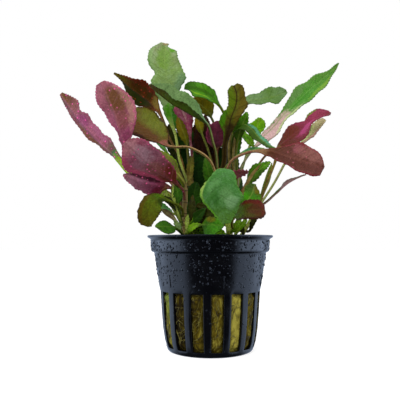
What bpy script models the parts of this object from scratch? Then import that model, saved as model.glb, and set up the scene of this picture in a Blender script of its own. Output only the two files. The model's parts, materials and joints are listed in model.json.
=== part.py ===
"""Cardinal flower in a slotted net pot, as sold for aquariums.

A black net pot of 55 mm holds a plug of rock wool. Seven stems stand in sockets in the wool, and each
leaf is one solid from its stalk to its tip, 0.3 mm clear of the stem that it grew on.

The origin is the centre of the pot's foot, +Z is up and the photo looks along +Y. Lengths in this
script are millimetres, and MM turns them into metres where a mesh is made.
"""

import math
from dataclasses import dataclass

import bmesh
import bpy
from mathutils import Matrix, Vector

MM = 0.001
GAP = 0.3

# Net pot, turned: height above the foot and radius
POT_HEIGHT = 50.0
FOOT_THICK = 1.5
POT_OUTSIDE = (
    (0.0, 18.6),
    (3.2, 19.7),
    (9.4, 20.8),
    (25.8, 22.05),
    (28.1, 22.6),
    (42.4, 24.9),
    (43.0, 26.1),
    (49.1, 26.5),
)
POT_INSIDE = (
    (FOOT_THICK, 17.9),
    (9.4, 19.6),
    (28.1, 21.4),
    (42.4, 23.7),
    (POT_HEIGHT, 25.3),
)
LIP_RADIUS = 27.5
POT_STEPS = 48

# Slots in the wall and in the foot, with a rib almost towards the camera
FRONT_RIB = -4.3
SLOTS = 16
SLOT_WIDTH = 5.2
SLOT_BOTTOM = 2.3
SLOT_TOP = 25.8
SLOT_REACH = (16.0, 30.0)
DRAINS = 8
DRAIN_WIDTH = 2.6
DRAIN_REACH = (8.0, 16.0)

# Rock wool plug
WOOL_TOP = 47.0
WOOL_SHOULDER = 45.6
WOOL_ROUNDING = 1.4
WOOL_CLEARANCE = 0.35
WOOL_STEPS = 32
SOCKET_DEPTH = 8.0
SOCKET_SIDES = 8

# Stems
STEM_STEPS = 6

# Leaves
STALK_RADIUS = 0.75
BLADE_THICK = 0.7
TIP_HALF = 0.4
SPREAD_SHARE = 1 / 3
STALK_STEPS = 4
BLADE_STEPS = 7
LEAF_STEPS = STALK_STEPS + BLADE_STEPS


@dataclass(frozen=True)
class Tone:
    """A colour and its roughness."""

    name: str
    colour: tuple
    roughness: float


@dataclass(frozen=True)
class Outline:
    """Half-width at even steps from neck to tip, as a share of the widest, and how round the tip is."""

    halves: tuple
    rounding: float


@dataclass(frozen=True)
class Stem:
    """A stem: its route from the wool upwards, its radius and its colour."""

    name: str
    route: tuple
    radius: float
    tone: Tone


@dataclass(frozen=True)
class Leaf:
    """A leaf: where it grows, its route, and how its blade is cut, turned and folded.

    The route starts clear of the stem, neck is the route point where the blade begins (1 is the
    first), face is what the upper side looks towards, and fold lifts both halves by that many degrees.
    """

    name: str
    stem: str
    height: float
    route: tuple
    neck: int
    width: float
    outline: Outline
    face: tuple
    fold: float
    tone: Tone


BLACK = Tone("pot_black", (0.012, 0.013, 0.017), 0.35)
WOOL = Tone("rock_wool", (0.20, 0.17, 0.06), 0.95)
BARK = Tone("stem_bark", (0.25, 0.15, 0.07), 0.6)
STEM_GREEN = Tone("stem_green", (0.25, 0.36, 0.08), 0.5)
GREEN = Tone("leaf_green", (0.13, 0.30, 0.05), 0.45)
DARK = Tone("leaf_dark", (0.06, 0.14, 0.04), 0.45)
SAGE = Tone("leaf_sage", (0.25, 0.38, 0.22), 0.5)
LIME = Tone("leaf_lime", (0.30, 0.48, 0.08), 0.45)
OLIVE = Tone("leaf_olive", (0.20, 0.22, 0.05), 0.45)
BRONZE = Tone("leaf_bronze", (0.22, 0.08, 0.05), 0.45)
MAUVE = Tone("leaf_mauve", (0.33, 0.11, 0.18), 0.5)
MAGENTA = Tone("leaf_magenta", (0.42, 0.06, 0.20), 0.45)
PALE = Tone("leaf_pale", (0.45, 0.50, 0.33), 0.5)

SPOON = Outline((0.12, 0.42, 0.92, 1.00, 0.66, 0.08), 1.0)
OVAL = Outline((0.12, 0.72, 1.00, 0.90, 0.58, 0.08), 1.0)
LANCE = Outline((0.12, 0.62, 1.00, 0.92, 0.55, 0.06), 0.0)
KITE = Outline((0.20, 0.62, 1.00, 0.86, 0.55, 0.14), 0.0)
STRAP = Outline((0.22, 0.60, 0.86, 1.00, 0.80, 0.10), 0.5)
BROAD = Outline((0.20, 0.70, 0.95, 1.00, 0.80, 0.20), 1.0)
PADDLE = Outline((0.35, 0.85, 1.00, 0.92, 0.80, 0.15), 0.6)
TONGUE = Outline((0.50, 0.72, 0.80, 1.00, 0.95, 0.35), 0.6)
SWORD = Outline((0.35, 0.60, 0.80, 1.00, 0.85, 0.06), 0.0)
DROP = Outline((0.40, 1.00, 1.00, 0.70, 0.50, 0.10), 0.3)
SHIELD = Outline((0.20, 0.60, 0.92, 1.00, 0.72, 0.30), 0.0)
EGG = Outline((0.35, 0.80, 1.00, 0.92, 0.60, 0.10), 0.6)

STEMS = (
    Stem("stem_left", ((-11.5, -8, 50), (-11.3, -8, 61), (-10.9, -8.5, 67), (-11.4, -9.2, 73)), 1.15, BARK),
    Stem("stem_mid_left", ((-5, 5, 50), (-6, 5, 62), (-8, 4.5, 72), (-9.3, 4, 81)), 1.0, BARK),
    Stem("stem_middle", ((4, -2.5, 50), (4, -2.5, 60), (3.5, -3, 70), (4, -3, 80)), 1.1, BARK),
    Stem("stem_front", ((8, -9, 50), (8, -9, 56), (7.6, -9.3, 61), (7.5, -9.5, 65)), 1.4, STEM_GREEN),
    Stem("stem_right", ((14, -2, 50), (16.5, -2, 54), (18.2, -1.7, 56.7), (19.5, -1.5, 59)), 1.0, STEM_GREEN),
    Stem("stem_back", ((-1, 13, 50), (-1, 14, 62), (0, 15, 72), (0, 16, 80)), 1.0, BARK),
    Stem("stem_back_right", ((10, 11, 50), (10.5, 12, 60), (11, 12.5, 70), (12, 13, 82)), 1.0, STEM_GREEN),
)

LEFT_LEAVES = (
    Leaf("leaf_far_left", "stem_left", 62,
         ((-18, -8, 67), (-26.5, -8, 71.5), (-35, -6, 77), (-41, -5, 84), (-46.5, -5, 89), (-51, -4, 93.5),
          (-60, -4, 103.5), (-67.5, -4, 113.7)), 4, 8, STRAP, (0.4, 0.8, 0.45), 12, MAUVE),
    Leaf("leaf_left_purple", "stem_left", 68,
         ((-19.5, -9.5, 75), (-26, -11, 77), (-32.5, -13.5, 82), (-35.6, -15, 87.5), (-38, -17.5, 93.5),
          (-39.8, -19, 100), (-42.3, -20.5, 106), (-45.7, -22, 113.3)), 4, 14.5, OVAL, (0.35, 0.85, 0.4), 8,
         MAUVE),
    Leaf("leaf_left_olive", "stem_middle", 68,
         ((2.2, -9.5, 76.5), (-1.2, -12.5, 83), (-8.8, -15, 87), (-15.2, -15, 87.2), (-19.2, -13, 88.6),
          (-24, -8, 94), (-29.2, -4, 99.2), (-37, 1, 107)), 5, 16, OVAL, (0.2, -0.8, 0.55), 10, OLIVE),
    Leaf("leaf_left_red", "stem_mid_left", 77,
         ((-13.5, 4, 86), (-18.4, 4, 94.5), (-21.4, 6, 103), (-24.4, 7, 109), (-28.1, 7, 113.7),
          (-33, 7, 117.3), (-38.2, 6, 121), (-45, 5, 126.6)), 4, 12, LANCE, (0.35, 0.45, 0.8), 15, BRONZE),
    Leaf("leaf_front_mauve", "stem_left", 65,
         ((-11.4, -12.5, 68.2), (-12.9, -17, 70), (-15.4, -22, 72), (-19.4, -26.5, 74), (-23.8, -30, 76.8),
          (-27.6, -33, 80), (-31, -35, 83), (-33.2, -36, 85)), 3, 16.5, BROAD, (0.2, 0.8, 0.55), 6, MAUVE),
    Leaf("leaf_left_strap", "stem_left", 71.5,
         ((-11.6, -13.5, 73.5), (-11.9, -16, 75.5), (-13.7, -18, 78), (-16.4, -21, 81.5), (-20.7, -24, 84.6)),
         2, 6.5, STRAP, (0.5, -0.75, 0.45), 35, GREEN),
    Leaf("leaf_low_purple", "stem_left", 61,
         ((-13.6, -12, 65.5), (-16, -13, 69.3), (-19.5, -15.5, 70.7), (-24.2, -17, 71), (-29.8, -19, 72.3),
          (-36.3, -20, 74.7)), 3, 10, LANCE, (0.1, 0.7, 0.7), 10, MAUVE),
    Leaf("leaf_low_olive", "stem_left", 58,
         ((-12.5, -13, 61.5), (-16.5, -18.5, 63.6), (-20.6, -21.5, 64.6), (-23.9, -22.3, 62), (-25.1, -22, 58.3),
          (-24.6, -21, 53.2)), 3, 9.5, OVAL, (-0.2, -0.95, 0.1), 8, OLIVE),
    Leaf("leaf_rim", "stem_left", 49.4,
         ((-12.2, -14, 50.6), (-15, -20, 52.8), (-18.6, -24, 53), (-22, -27, 53)), 2, 5.8, OVAL,
         (-0.1, -0.7, 0.7), 5, DARK),
    Leaf("leaf_low_lime", "stem_left", 53.5,
         ((-8.4, -13, 56.5), (-8, -13.8, 60), (-7.8, -13.5, 63.5), (-7.6, -12.8, 67)), 1, 3.4, LANCE,
         (0.1, -0.9, 0.3), 10, LIME),
    Leaf("leaf_bottom_green", "stem_left", 51.2,
         ((-7.5, -12.5, 52.4), (-3.3, -17, 54), (0.4, -20, 54), (5.2, -22, 53.6)), 2, 5.6, OVAL,
         (0.0, -0.7, 0.7), 8, GREEN),
)

TOP_LEAVES = (
    Leaf("leaf_top_sage", "stem_mid_left", 73,
         ((-12, -0.5, 79), (-14, -2, 85), (-15.3, -3, 94), (-17.2, -3, 101.5), (-18.2, -3, 108),
          (-19.2, -3, 116), (-20, -3, 123), (-20.9, -2, 130), (-20.5, 0, 139)), 4, 16.5, PADDLE,
         (0.1, -0.95, 0.3), 8, SAGE),
    Leaf("leaf_top_folded", "stem_middle", 75,
         ((2.6, -8, 84.7), (1.1, -11, 90.3), (-1.1, -14, 97), (-5.4, -15.5, 99.9), (-10.9, -16, 103.1),
          (-16.4, -16, 106.2), (-21.7, -15, 110.5), (-26.5, -14, 114.6)), 3, 9.5, STRAP, (0.2, -0.35, 0.92),
         60, DARK),
    Leaf("leaf_top_bright", "stem_back", 76,
         ((4.5, 11, 86), (7.5, 8.5, 96), (8.2, 7, 102), (6.8, 6, 107.1), (4.5, 6, 111.2), (0.7, 6, 114.6),
          (-3.6, 5, 116.9), (-7.8, 5, 118.3), (-12, 5, 119)), 5, 8.5, OVAL, (0.15, -0.75, 0.65), 12, GREEN),
    Leaf("leaf_top_yellow", "stem_back", 73,
         ((4.5, 16.5, 80), (5, 14.5, 90), (4.2, 13, 98.5), (0.8, 12, 107.2), (-3, 12, 112.2),
          (-8.8, 11, 115.8)), 4, 6.5, LANCE, (0, -0.9, 0.4), 8, OLIVE),
    Leaf("leaf_centre_tall", "stem_middle", 79,
         ((6.4, -5.8, 83.5), (6.5, -8, 89.5), (7.8, -10, 94.8), (9, -11, 100.5), (11, -11, 106),
          (11.6, -11, 111), (10.4, -10, 115.8)), 3, 9.4, OVAL, (-0.1, -0.95, 0.1), 18, OLIVE),
    Leaf("leaf_hanging_pink", "stem_mid_left", 79.6,
         ((-8.2, -1.5, 85), (-9, -6, 94.4), (-10, -8, 100), (-11.7, -9, 105), (-12.5, -9, 108.5)), 2, 7, OVAL,
         (0.2, 0.9, 0.1), 20, MAGENTA),
    Leaf("leaf_dark_purple", "stem_middle", 77,
         ((3.4, 1.5, 83.6), (3, 3, 90), (3, 4, 96.7), (4, 4, 103.3)), 2, 6, OVAL, (0, 0.95, 0.1), 10, MAUVE),
    Leaf("leaf_centre_maroon", "stem_back", 74,
         ((-2.5, 10, 79), (-3.3, 7.2, 85), (-3.2, 6, 92), (-2.5, 6.2, 99), (-2, 7, 107)), 2, 9, OVAL,
         (0, -0.9, 0.3), 10, BRONZE),
    Leaf("leaf_centre_dark", "stem_mid_left", 79,
         ((-9.5, 8.5, 85), (-10.5, 8, 91), (-11.5, 7.5, 97), (-12, 7, 104)), 2, 8.5, OVAL, (0, -0.9, 0.3), 10,
         DARK),
)

RIGHT_LEAVES = (
    Leaf("leaf_right_sage", "stem_back_right", 81,
         ((12.5, 16.5, 92), (14.5, 17.5, 103), (16, 18.5, 111), (19, 19, 116), (24, 20, 118),
          (29.2, 21, 119.2), (34.3, 21, 120.3), (39.1, 20, 122.2)), 4, 10.5, TONGUE, (-0.2, -0.8, 0.55), 8,
         SAGE),
    Leaf("leaf_far_right", "stem_back_right", 70,
         ((14.5, 9.5, 81), (19.3, 10, 89.3), (25.3, 12, 96.4), (30.5, 14, 101.3), (36.5, 15, 108.5),
          (43.3, 16, 115.8), (50, 16, 122), (57.3, 16, 128.3), (64, 15, 135.1)), 3, 10.5, SWORD,
         (-0.5, -0.7, 0.5), 10, GREEN),
    Leaf("leaf_right_magenta", "stem_right", 58.9,
         ((22.3, 0.3, 63.5), (25.5, -1, 73), (29, -1, 81.8), (31.2, -2, 89), (35, -3, 92.6),
          (39.5, -4, 96.4), (45.4, -4, 101.3), (54.3, -3, 105.7)), 4, 12, DROP, (-0.3, -0.6, 0.75), 10,
         MAGENTA),
    Leaf("leaf_right_pale", "stem_right", 56,
         ((20, 4, 60), (24.2, 6.5, 65.5), (30.5, 8, 75), (36.3, 8, 85.3), (41.9, 7.5, 92.2), (47, 7, 96),
          (51.3, 7, 100.4), (54.8, 7, 104.7)), 5, 5, STRAP, (-0.4, -0.8, 0.4), 20, PALE),
    Leaf("leaf_right_drooping", "stem_middle", 64,
         ((6, -9, 74), (8.8, -13, 81.4), (14, -17, 84), (18.7, -20, 84.6), (23, -22, 84.3), (28.4, -24, 82.3),
          (33.5, -27, 80.1), (38.7, -29, 78.2), (44.1, -31, 75.9)), 5, 13, SPOON, (0.25, -0.75, 0.6), 8,
         BRONZE),
    Leaf("leaf_arched_green", "stem_back_right", 76,
         ((11, 6, 84), (10, -1, 91), (11.2, -4, 96.7), (14.7, -6, 99), (18, -8, 96.7), (21.3, -10, 92.2),
          (24.9, -12, 88.7), (28.2, -13, 87.2)), 3, 6.4, LANCE, (0.3, -0.4, 0.85), 35, GREEN),
    Leaf("leaf_lime", "stem_back_right", 73,
         ((15.5, 13, 81), (18.5, 14.5, 90.5), (21.3, 16, 97.6), (23.4, 17, 102.8), (24.5, 17, 108.3)), 3, 7,
         KITE, (0.1, -0.9, 0.3), 10, LIME),
    Leaf("leaf_serrated", "stem_front", 60,
         ((13.9, -7.5, 66.7), (16.1, -7.5, 72), (19.1, -8, 76.3), (22.7, -8.5, 79.3), (26.3, -8, 82.2)), 2,
         6.2, OVAL, (-0.4, -0.8, 0.4), 10, GREEN),
    Leaf("leaf_thin_right", "stem_back_right", 57,
         ((18, 10, 60.5), (25.9, 8.5, 65.3), (30.8, 9, 69.6), (35.1, 9, 73.8), (39.8, 9, 76.7),
          (45.3, 8, 78.9)), 3, 3.4, LANCE, (-0.3, 0.2, 0.9), 15, MAUVE),
    Leaf("leaf_small_dark", "stem_middle", 71,
         ((8.5, -3, 75), (11.6, -3, 76.9), (14.8, -3, 77.8), (17.9, -3, 78.7)), 1, 3.6, LANCE,
         (-0.2, -0.3, 0.9), 10, BRONZE),
)

FRONT_LEAVES = (
    Leaf("leaf_front_green", "stem_front", 63,
         ((6, -15, 69), (5.3, -24, 73.8), (5.2, -33, 74.8), (4.6, -36.5, 70), (3.9, -38, 63.4),
          (5.2, -38, 53.7)), 3, 15.7, SHIELD, (0, -1, 0.1), 5, GREEN),
    Leaf("leaf_front_red", "stem_front", 51,
         ((9, -15, 52.5), (8.5, -22, 55), (9.3, -28, 57.7), (12.6, -31, 59), (16.4, -32, 59.4),
          (20.8, -31, 59.4)), 3, 8.2, EGG, (0, -0.9, 0.4), 8, BRONZE),
    Leaf("leaf_front_bright", "stem_right", 53,
         ((12.5, -8, 55.5), (12, -13.5, 59), (14.6, -18, 63.2), (17.1, -19, 66.8), (18.3, -19, 71)), 2, 8,
         OVAL, (0.1, -0.8, 0.6), 8, LIME),
    Leaf("leaf_bottom_olive", "stem_front", 54,
         ((3.5, -13, 58.2), (-0.7, -13.5, 58.6), (-4.1, -12, 57.4), (-6.2, -10, 55)), 1, 4.4, OVAL,
         (0, -0.8, 0.6), 8, OLIVE),
)

BACK_LEAVES = (
    Leaf("leaf_inner_green", "stem_back", 60,
         ((-4.5, 9, 65.5), (-5.5, 7.5, 70), (-5.5, 7, 75), (-5, 7, 80)), 2, 7.5, OVAL, (0, -0.95, 0.1), 10,
         DARK),
    Leaf("leaf_back_left_high", "stem_back", 70,
         ((-8, 18, 77), (-16, 23, 86), (-21, 26, 92), (-26, 29, 98), (-30, 30.5, 103.5), (-33, 31, 109)), 3,
         12, SPOON, (0.5, -0.4, 0.75), 10, GREEN),
    Leaf("leaf_back_left", "stem_back", 64,
         ((-9, 20, 66), (-20, 27, 72), (-27, 31, 77), (-34, 35, 83.5), (-39, 37, 89), (-43, 38, 94)), 3, 13,
         SPOON, (0.4, -0.4, 0.8), 10, OLIVE),
    Leaf("leaf_back_left_low", "stem_mid_left", 56,
         ((-12, 11, 58.5), (-18, 17, 61), (-24, 22, 64), (-29, 26, 67), (-33, 29, 69)), 2, 9, OVAL,
         (0.2, -0.3, 0.9), 10, GREEN),
    Leaf("leaf_back_centre", "stem_back", 72,
         ((-2, 23, 76), (-4, 28, 81), (-5.5, 32, 87), (-7, 34, 93)), 2, 13, OVAL, (0, -0.7, 0.7), 10, GREEN),
    Leaf("leaf_back_tall", "stem_back", 79,
         ((2, 19, 88), (5, 21.5, 94), (8, 24, 101), (10, 25, 107), (11, 25, 112)), 2, 9.5, SPOON,
         (0, -0.9, 0.3), 10, OLIVE),
    Leaf("leaf_back_right", "stem_back_right", 58,
         ((14, 18, 61), (18, 23, 64.5), (22.5, 28, 68), (26, 31, 70.5)), 1, 10, OVAL, (-0.3, -0.4, 0.85), 10,
         GREEN),
    Leaf("leaf_back_right_far", "stem_back_right", 66,
         ((19, 19, 77), (29, 25, 91), (36, 28.5, 94), (44, 31, 94), (51, 33, 93), (57, 34, 91)), 3, 11,
         SPOON, (-0.1, -0.3, 0.95), 10, BRONZE),
    Leaf("leaf_back_high", "stem_back", 79,
         ((-5, 18, 88), (-11, 19, 97), (-14.5, 20, 106), (-17, 20.5, 113), (-18.5, 21, 120)), 2, 9, SPOON,
         (0.1, -0.9, 0.4), 10, GREEN),
    Leaf("leaf_back_low", "stem_back", 53,
         ((0, 22, 56.5), (1.5, 28, 59.5), (2.5, 34, 61), (3, 41, 60)), 2, 10, OVAL, (0, -0.2, 0.95), 10,
         LIME),
    Leaf("leaf_back_mid_right", "stem_back_right", 62,
         ((11, 19, 68), (12.5, 25, 74), (14, 29, 79), (15, 31, 83.5)), 1, 9, OVAL, (-0.1, -0.7, 0.7), 10,
         DARK),
)

LEAVES = LEFT_LEAVES + TOP_LEAVES + RIGHT_LEAVES + FRONT_LEAVES + BACK_LEAVES


def catmull_rom(points, at):
    """The point at `at`, from 0 to the last index, on the smooth curve through the points."""
    last = len(points) - 1
    start = min(int(at), last - 1)
    step = at - start
    near = points[start]
    far = points[start + 1]
    before = points[start - 1] if start > 0 else 2 * near - far
    after = points[start + 2] if start + 2 <= last else 2 * far - near
    return 0.5 * (
        2 * near
        + (far - before) * step
        + (2 * before - 5 * near + 4 * far - after) * step**2
        + (3 * near - before - 3 * far + after) * step**3
    )


def clear_scene():
    """Remove every object, so that the script starts from an empty scene."""
    for obj in list(bpy.data.objects):
        bpy.data.objects.remove(obj, do_unlink=True)


def make_material(tone):
    """A Principled material in the tone, made once."""
    found = bpy.data.materials.get(tone.name)
    if found:
        return found
    material = bpy.data.materials.new(tone.name)
    material.use_nodes = True
    shader = material.node_tree.nodes["Principled BSDF"]
    shader.inputs["Base Color"].default_value = (*tone.colour, 1)
    shader.inputs["Roughness"].default_value = tone.roughness
    shader.inputs["Metallic"].default_value = 0
    return material


def add_object(name, data, tone, collection):
    """Put mesh or curve data in the scene as an object with its material."""
    obj = bpy.data.objects.new(name, data)
    obj.data.materials.append(make_material(tone))
    collection.objects.link(obj)
    return obj


def turned(name, profile, steps, tone, collection):
    """A solid turned about Z from a profile of (height, radius) that starts and ends on the axis."""
    mesh = bpy.data.meshes.new(name)
    bm = bmesh.new()
    verts = [bm.verts.new((radius * MM, 0, height * MM)) for height, radius in profile]
    for low, high in zip(verts, verts[1:]):
        bm.edges.new((low, high))
    bm.to_mesh(mesh)
    bm.free()
    obj = add_object(name, mesh, tone, collection)
    screw = obj.modifiers.new("turn", "SCREW")
    screw.axis = "Z"
    screw.angle = math.tau
    screw.steps = steps
    screw.render_steps = steps
    screw.use_merge_vertices = True
    screw.merge_threshold = 1e-5
    screw.use_normal_calculate = True
    return obj


def cut(obj, cutter):
    """Subtract a cutter from an object."""
    boolean = obj.modifiers.new("cut_" + cutter.name, "BOOLEAN")
    boolean.operation = "DIFFERENCE"
    boolean.solver = "EXACT"
    boolean.object = cutter
    cutter.hide_render = True


def radial_boxes(name, count, reach, width, heights, collection):
    """Boxes set like spokes, as one cutter, the first of them half a step past the front rib."""
    mesh = bpy.data.meshes.new(name)
    bm = bmesh.new()
    inner, outer = reach
    low, high = heights
    for number in range(count):
        angle = math.radians(FRONT_RIB) + math.tau * (number + 0.5) / count
        box = bmesh.ops.create_cube(bm, size=1.0)["verts"]
        size = Vector((outer - inner, width, high - low)) * MM
        middle = Vector(((outer + inner) / 2, 0, (high + low) / 2)) * MM
        bmesh.ops.scale(bm, vec=size, verts=box)
        bmesh.ops.translate(bm, vec=middle, verts=box)
        bmesh.ops.rotate(bm, cent=(0, 0, 0), matrix=rotation_z(angle), verts=box)
    bm.to_mesh(mesh)
    bm.free()
    return add_object(name, mesh, BLACK, collection)


def rotation_z(angle):
    """The turn about Z by an angle that puts its zero towards the camera side, -Y."""
    return Matrix.Rotation(angle - math.pi / 2, 3, "Z")


def inner_radius(height):
    """The radius of the pot's inside at a height."""
    for (low, first), (high, second) in zip(POT_INSIDE, POT_INSIDE[1:]):
        if height <= high:
            return first + (second - first) * (height - low) / (high - low)
    return POT_INSIDE[-1][1]


def make_pot(collection, cutters):
    """The net pot: a turned cup with a lip, slots in its wall and drains in its foot."""
    lip = [(POT_OUTSIDE[-1][0], LIP_RADIUS), (POT_HEIGHT, LIP_RADIUS)]
    profile = [(0, 0), *POT_OUTSIDE, *lip, *reversed(POT_INSIDE), (FOOT_THICK, 0)]
    pot = turned("pot", profile, POT_STEPS, BLACK, collection)
    slots = radial_boxes("slots", SLOTS, SLOT_REACH, SLOT_WIDTH, (SLOT_BOTTOM, SLOT_TOP), cutters)
    drains = radial_boxes("drains", DRAINS, DRAIN_REACH, DRAIN_WIDTH, (-1, FOOT_THICK + 1), cutters)
    cut(pot, slots)
    cut(pot, drains)
    return pot


def make_wool(collection, cutters):
    """The rock wool plug, a gap inside the pot, with a socket for each stem."""
    bottom = FOOT_THICK + GAP
    heights = [height for height, _ in POT_INSIDE if bottom < height < WOOL_SHOULDER]
    side = [(height, inner_radius(height) - WOOL_CLEARANCE) for height in [bottom, *heights, WOOL_SHOULDER]]
    top = (WOOL_TOP, side[-1][1] - WOOL_ROUNDING)
    wool = turned("rock_wool", [(bottom, 0), *side, top, (WOOL_TOP, 0)], WOOL_STEPS, WOOL, collection)
    mesh = bpy.data.meshes.new("sockets")
    bm = bmesh.new()
    for stem in STEMS:
        x, y, _ = stem.route[0]
        radius = (stem.radius + GAP) * MM
        depth = 2 * SOCKET_DEPTH * MM
        made = bmesh.ops.create_cone(
            bm, cap_ends=True, segments=SOCKET_SIDES, radius1=radius, radius2=radius, depth=depth
        )
        bmesh.ops.translate(bm, vec=Vector((x, y, WOOL_TOP)) * MM, verts=made["verts"])
    bm.to_mesh(mesh)
    bm.free()
    cut(wool, add_object("sockets", mesh, WOOL, cutters))
    return wool


def stem_points(stem):
    """The smooth points of a stem, from its foot in the wool to its top."""
    x, y, _ = stem.route[0]
    foot = Vector((x, y, WOOL_TOP - SOCKET_DEPTH + GAP))
    route = [Vector(point) for point in stem.route]
    last = len(route) - 1
    curve = [catmull_rom(route, last * number / (STEM_STEPS - 1)) for number in range(STEM_STEPS)]
    return [foot, *curve]


def stem_axis(stem, height):
    """The point of a stem's axis at a height."""
    points = stem_points(stem)
    for low, high in zip(points, points[1:]):
        if low.z <= height <= high.z:
            return low.lerp(high, (height - low.z) / (high.z - low.z))
    return points[-1]


def make_stem(stem, collection):
    """A stem as a bevelled curve with filled caps."""
    curve = bpy.data.curves.new(stem.name, "CURVE")
    curve.dimensions = "3D"
    curve.bevel_depth = stem.radius * MM
    curve.bevel_resolution = 2
    curve.use_fill_caps = True
    points = stem_points(stem)
    spline = curve.splines.new("POLY")
    spline.points.add(len(points) - 1)
    for place, point in zip(spline.points, points):
        place.co = (*(point - points[0]) * MM, 1)
    obj = add_object(stem.name, curve, stem.tone, collection)
    obj.location = points[0] * MM
    return obj


def leaf_route(leaf):
    """The leaf's route with its base, where the corner of the square stalk is a gap off the stem."""
    stem = next(stem for stem in STEMS if stem.name == leaf.stem)
    axis = stem_axis(stem, leaf.height)
    route = [Vector(point) for point in leaf.route]
    away = route[0] - axis
    away.z = 0
    base = axis + away.normalized() * (stem.radius + STALK_RADIUS * math.sqrt(2) + GAP)
    return [base, *route]


def half_width(leaf, share):
    """Half the blade's width at a share of its length, counted in even steps."""
    halves = [Vector((half, 0, 0)) for half in leaf.outline.halves]
    half = catmull_rom(halves, share * (len(halves) - 1)).x * leaf.width / 2
    smallest = STALK_RADIUS if share < 1 else TIP_HALF
    return max(half, smallest)


def leaf_stations(leaf):
    """Where the leaf's cross-sections lie: the point, the half-width and whether it is blade."""
    route = leaf_route(leaf)
    stations = []
    for number in range(STALK_STEPS):
        point = catmull_rom(route, leaf.neck * number / STALK_STEPS)
        stations.append((point, STALK_RADIUS, 0.0))
    for number in range(BLADE_STEPS + 1):
        share = number / BLADE_STEPS
        curved = math.sin(share * math.pi / 2)
        along = share + (curved - share) * leaf.outline.rounding
        point = catmull_rom(route, leaf.neck + (len(route) - 1 - leaf.neck) * along)
        stations.append((point, half_width(leaf, share), min(1.0, share / SPREAD_SHARE)))
    return stations


def leaf_frames(leaf, points):
    """The direction that the upper side faces at each station, carried along from mid-blade."""
    count = len(points)
    along = []
    for number in range(count):
        before = points[max(number - 1, 0)]
        after = points[min(number + 1, count - 1)]
        along.append((after - before).normalized())
    middle = STALK_STEPS + BLADE_STEPS // 2
    ups = [None] * count
    ups[middle] = square_to(Vector(leaf.face), along[middle])
    for number in range(middle - 1, -1, -1):
        ups[number] = square_to(ups[number + 1], along[number])
    for number in range(middle + 1, count):
        ups[number] = square_to(ups[number - 1], along[number])
    return [(up, along[number].cross(up)) for number, up in enumerate(ups)]


def square_to(direction, axis):
    """The direction made square to an axis."""
    return (direction - axis * direction.dot(axis)).normalized()


def make_leaf(leaf, collection):
    """A leaf: a grid laid along its route, given its thickness by Solidify."""
    stations = leaf_stations(leaf)
    frames = leaf_frames(leaf, [point for point, _, _ in stations])
    base = stations[0][0]
    mesh = bpy.data.meshes.new(leaf.name)
    bm = bmesh.new()
    bmesh.ops.create_grid(bm, x_segments=LEAF_STEPS, y_segments=2, size=0.5)
    for vert in bm.verts:
        number = round((vert.co.x + 0.5) * LEAF_STEPS)
        side = round(vert.co.y * 2)
        point, half, spread = stations[number]
        up, across = frames[number]
        lift = math.radians(leaf.fold) * spread
        offset = across * side * half * math.cos(lift) + up * abs(side) * half * math.sin(lift)
        vert.co = (point - base + offset) * MM
    bm.to_mesh(mesh)
    bm.free()
    obj = add_object(leaf.name, mesh, leaf.tone, collection)
    obj.location = base * MM
    thickness = obj.vertex_groups.new(name="thickness")
    sections = len(stations)
    for vert in mesh.vertices:
        spread = stations[station_of(vert.index, sections)][2]
        share = 1 + (BLADE_THICK / (2 * STALK_RADIUS) - 1) * spread
        thickness.add([vert.index], share, "REPLACE")
    solidify = obj.modifiers.new("thickness", "SOLIDIFY")
    solidify.thickness = 2 * STALK_RADIUS * MM
    solidify.offset = 0
    solidify.vertex_group = "thickness"
    return obj


def station_of(index, sections):
    """The station of a grid vertex: the grid counts along the leaf first, row by row."""
    return index % sections


def main():
    """Build the pot, the wool, the stems and the leaves."""
    clear_scene()
    plant = bpy.data.collections.new("cardinal_flower")
    cutters = bpy.data.collections.new("cutters")
    bpy.context.scene.collection.children.link(plant)
    bpy.context.scene.collection.children.link(cutters)
    make_pot(plant, cutters)
    make_wool(plant, cutters)
    for stem in STEMS:
        make_stem(stem, plant)
    for leaf in LEAVES:
        make_leaf(leaf, plant)


main()
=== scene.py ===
"""Cardinal flower in a slotted net pot, as sold for aquariums.

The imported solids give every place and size. This script stands a finished piece for each of them: the
moulded pot, the rock wool with its fibres, the stems with their leaf scars, and each leaf with its veins,
teeth and colours. Lengths are millimetres until MM turns them into metres.
"""

import json
import logging
import math
import random
from collections.abc import Callable
from dataclasses import dataclass, replace
from enum import Enum
from functools import partial

import bmesh
import bpy
from mathutils import Matrix, Vector, noise


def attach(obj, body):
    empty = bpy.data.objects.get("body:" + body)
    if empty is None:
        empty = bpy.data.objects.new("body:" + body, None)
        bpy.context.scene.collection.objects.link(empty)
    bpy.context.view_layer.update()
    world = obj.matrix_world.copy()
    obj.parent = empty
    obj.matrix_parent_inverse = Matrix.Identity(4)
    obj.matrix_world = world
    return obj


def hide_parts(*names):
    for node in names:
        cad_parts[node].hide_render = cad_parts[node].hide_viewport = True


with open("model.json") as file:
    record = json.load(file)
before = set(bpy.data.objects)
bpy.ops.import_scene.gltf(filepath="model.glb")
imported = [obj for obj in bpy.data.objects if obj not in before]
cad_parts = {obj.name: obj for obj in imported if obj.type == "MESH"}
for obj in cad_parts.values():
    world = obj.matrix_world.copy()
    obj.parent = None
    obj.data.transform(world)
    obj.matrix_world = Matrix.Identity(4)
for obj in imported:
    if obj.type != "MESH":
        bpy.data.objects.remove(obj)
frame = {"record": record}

LOG = logging.getLogger("cardinal_flower")
MM = 0.001
ROOT = "root"
SLOTS = {part["node"]: part["material_slot"] for part in frame["record"]["subparts"]}

# The stalk's share of a leaf's colour run, and the pitch and slope of the side veins
STALK_SHARE = 0.25
VEIN_PITCH = 4.2
VEIN_LEAN = 0.75
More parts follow.
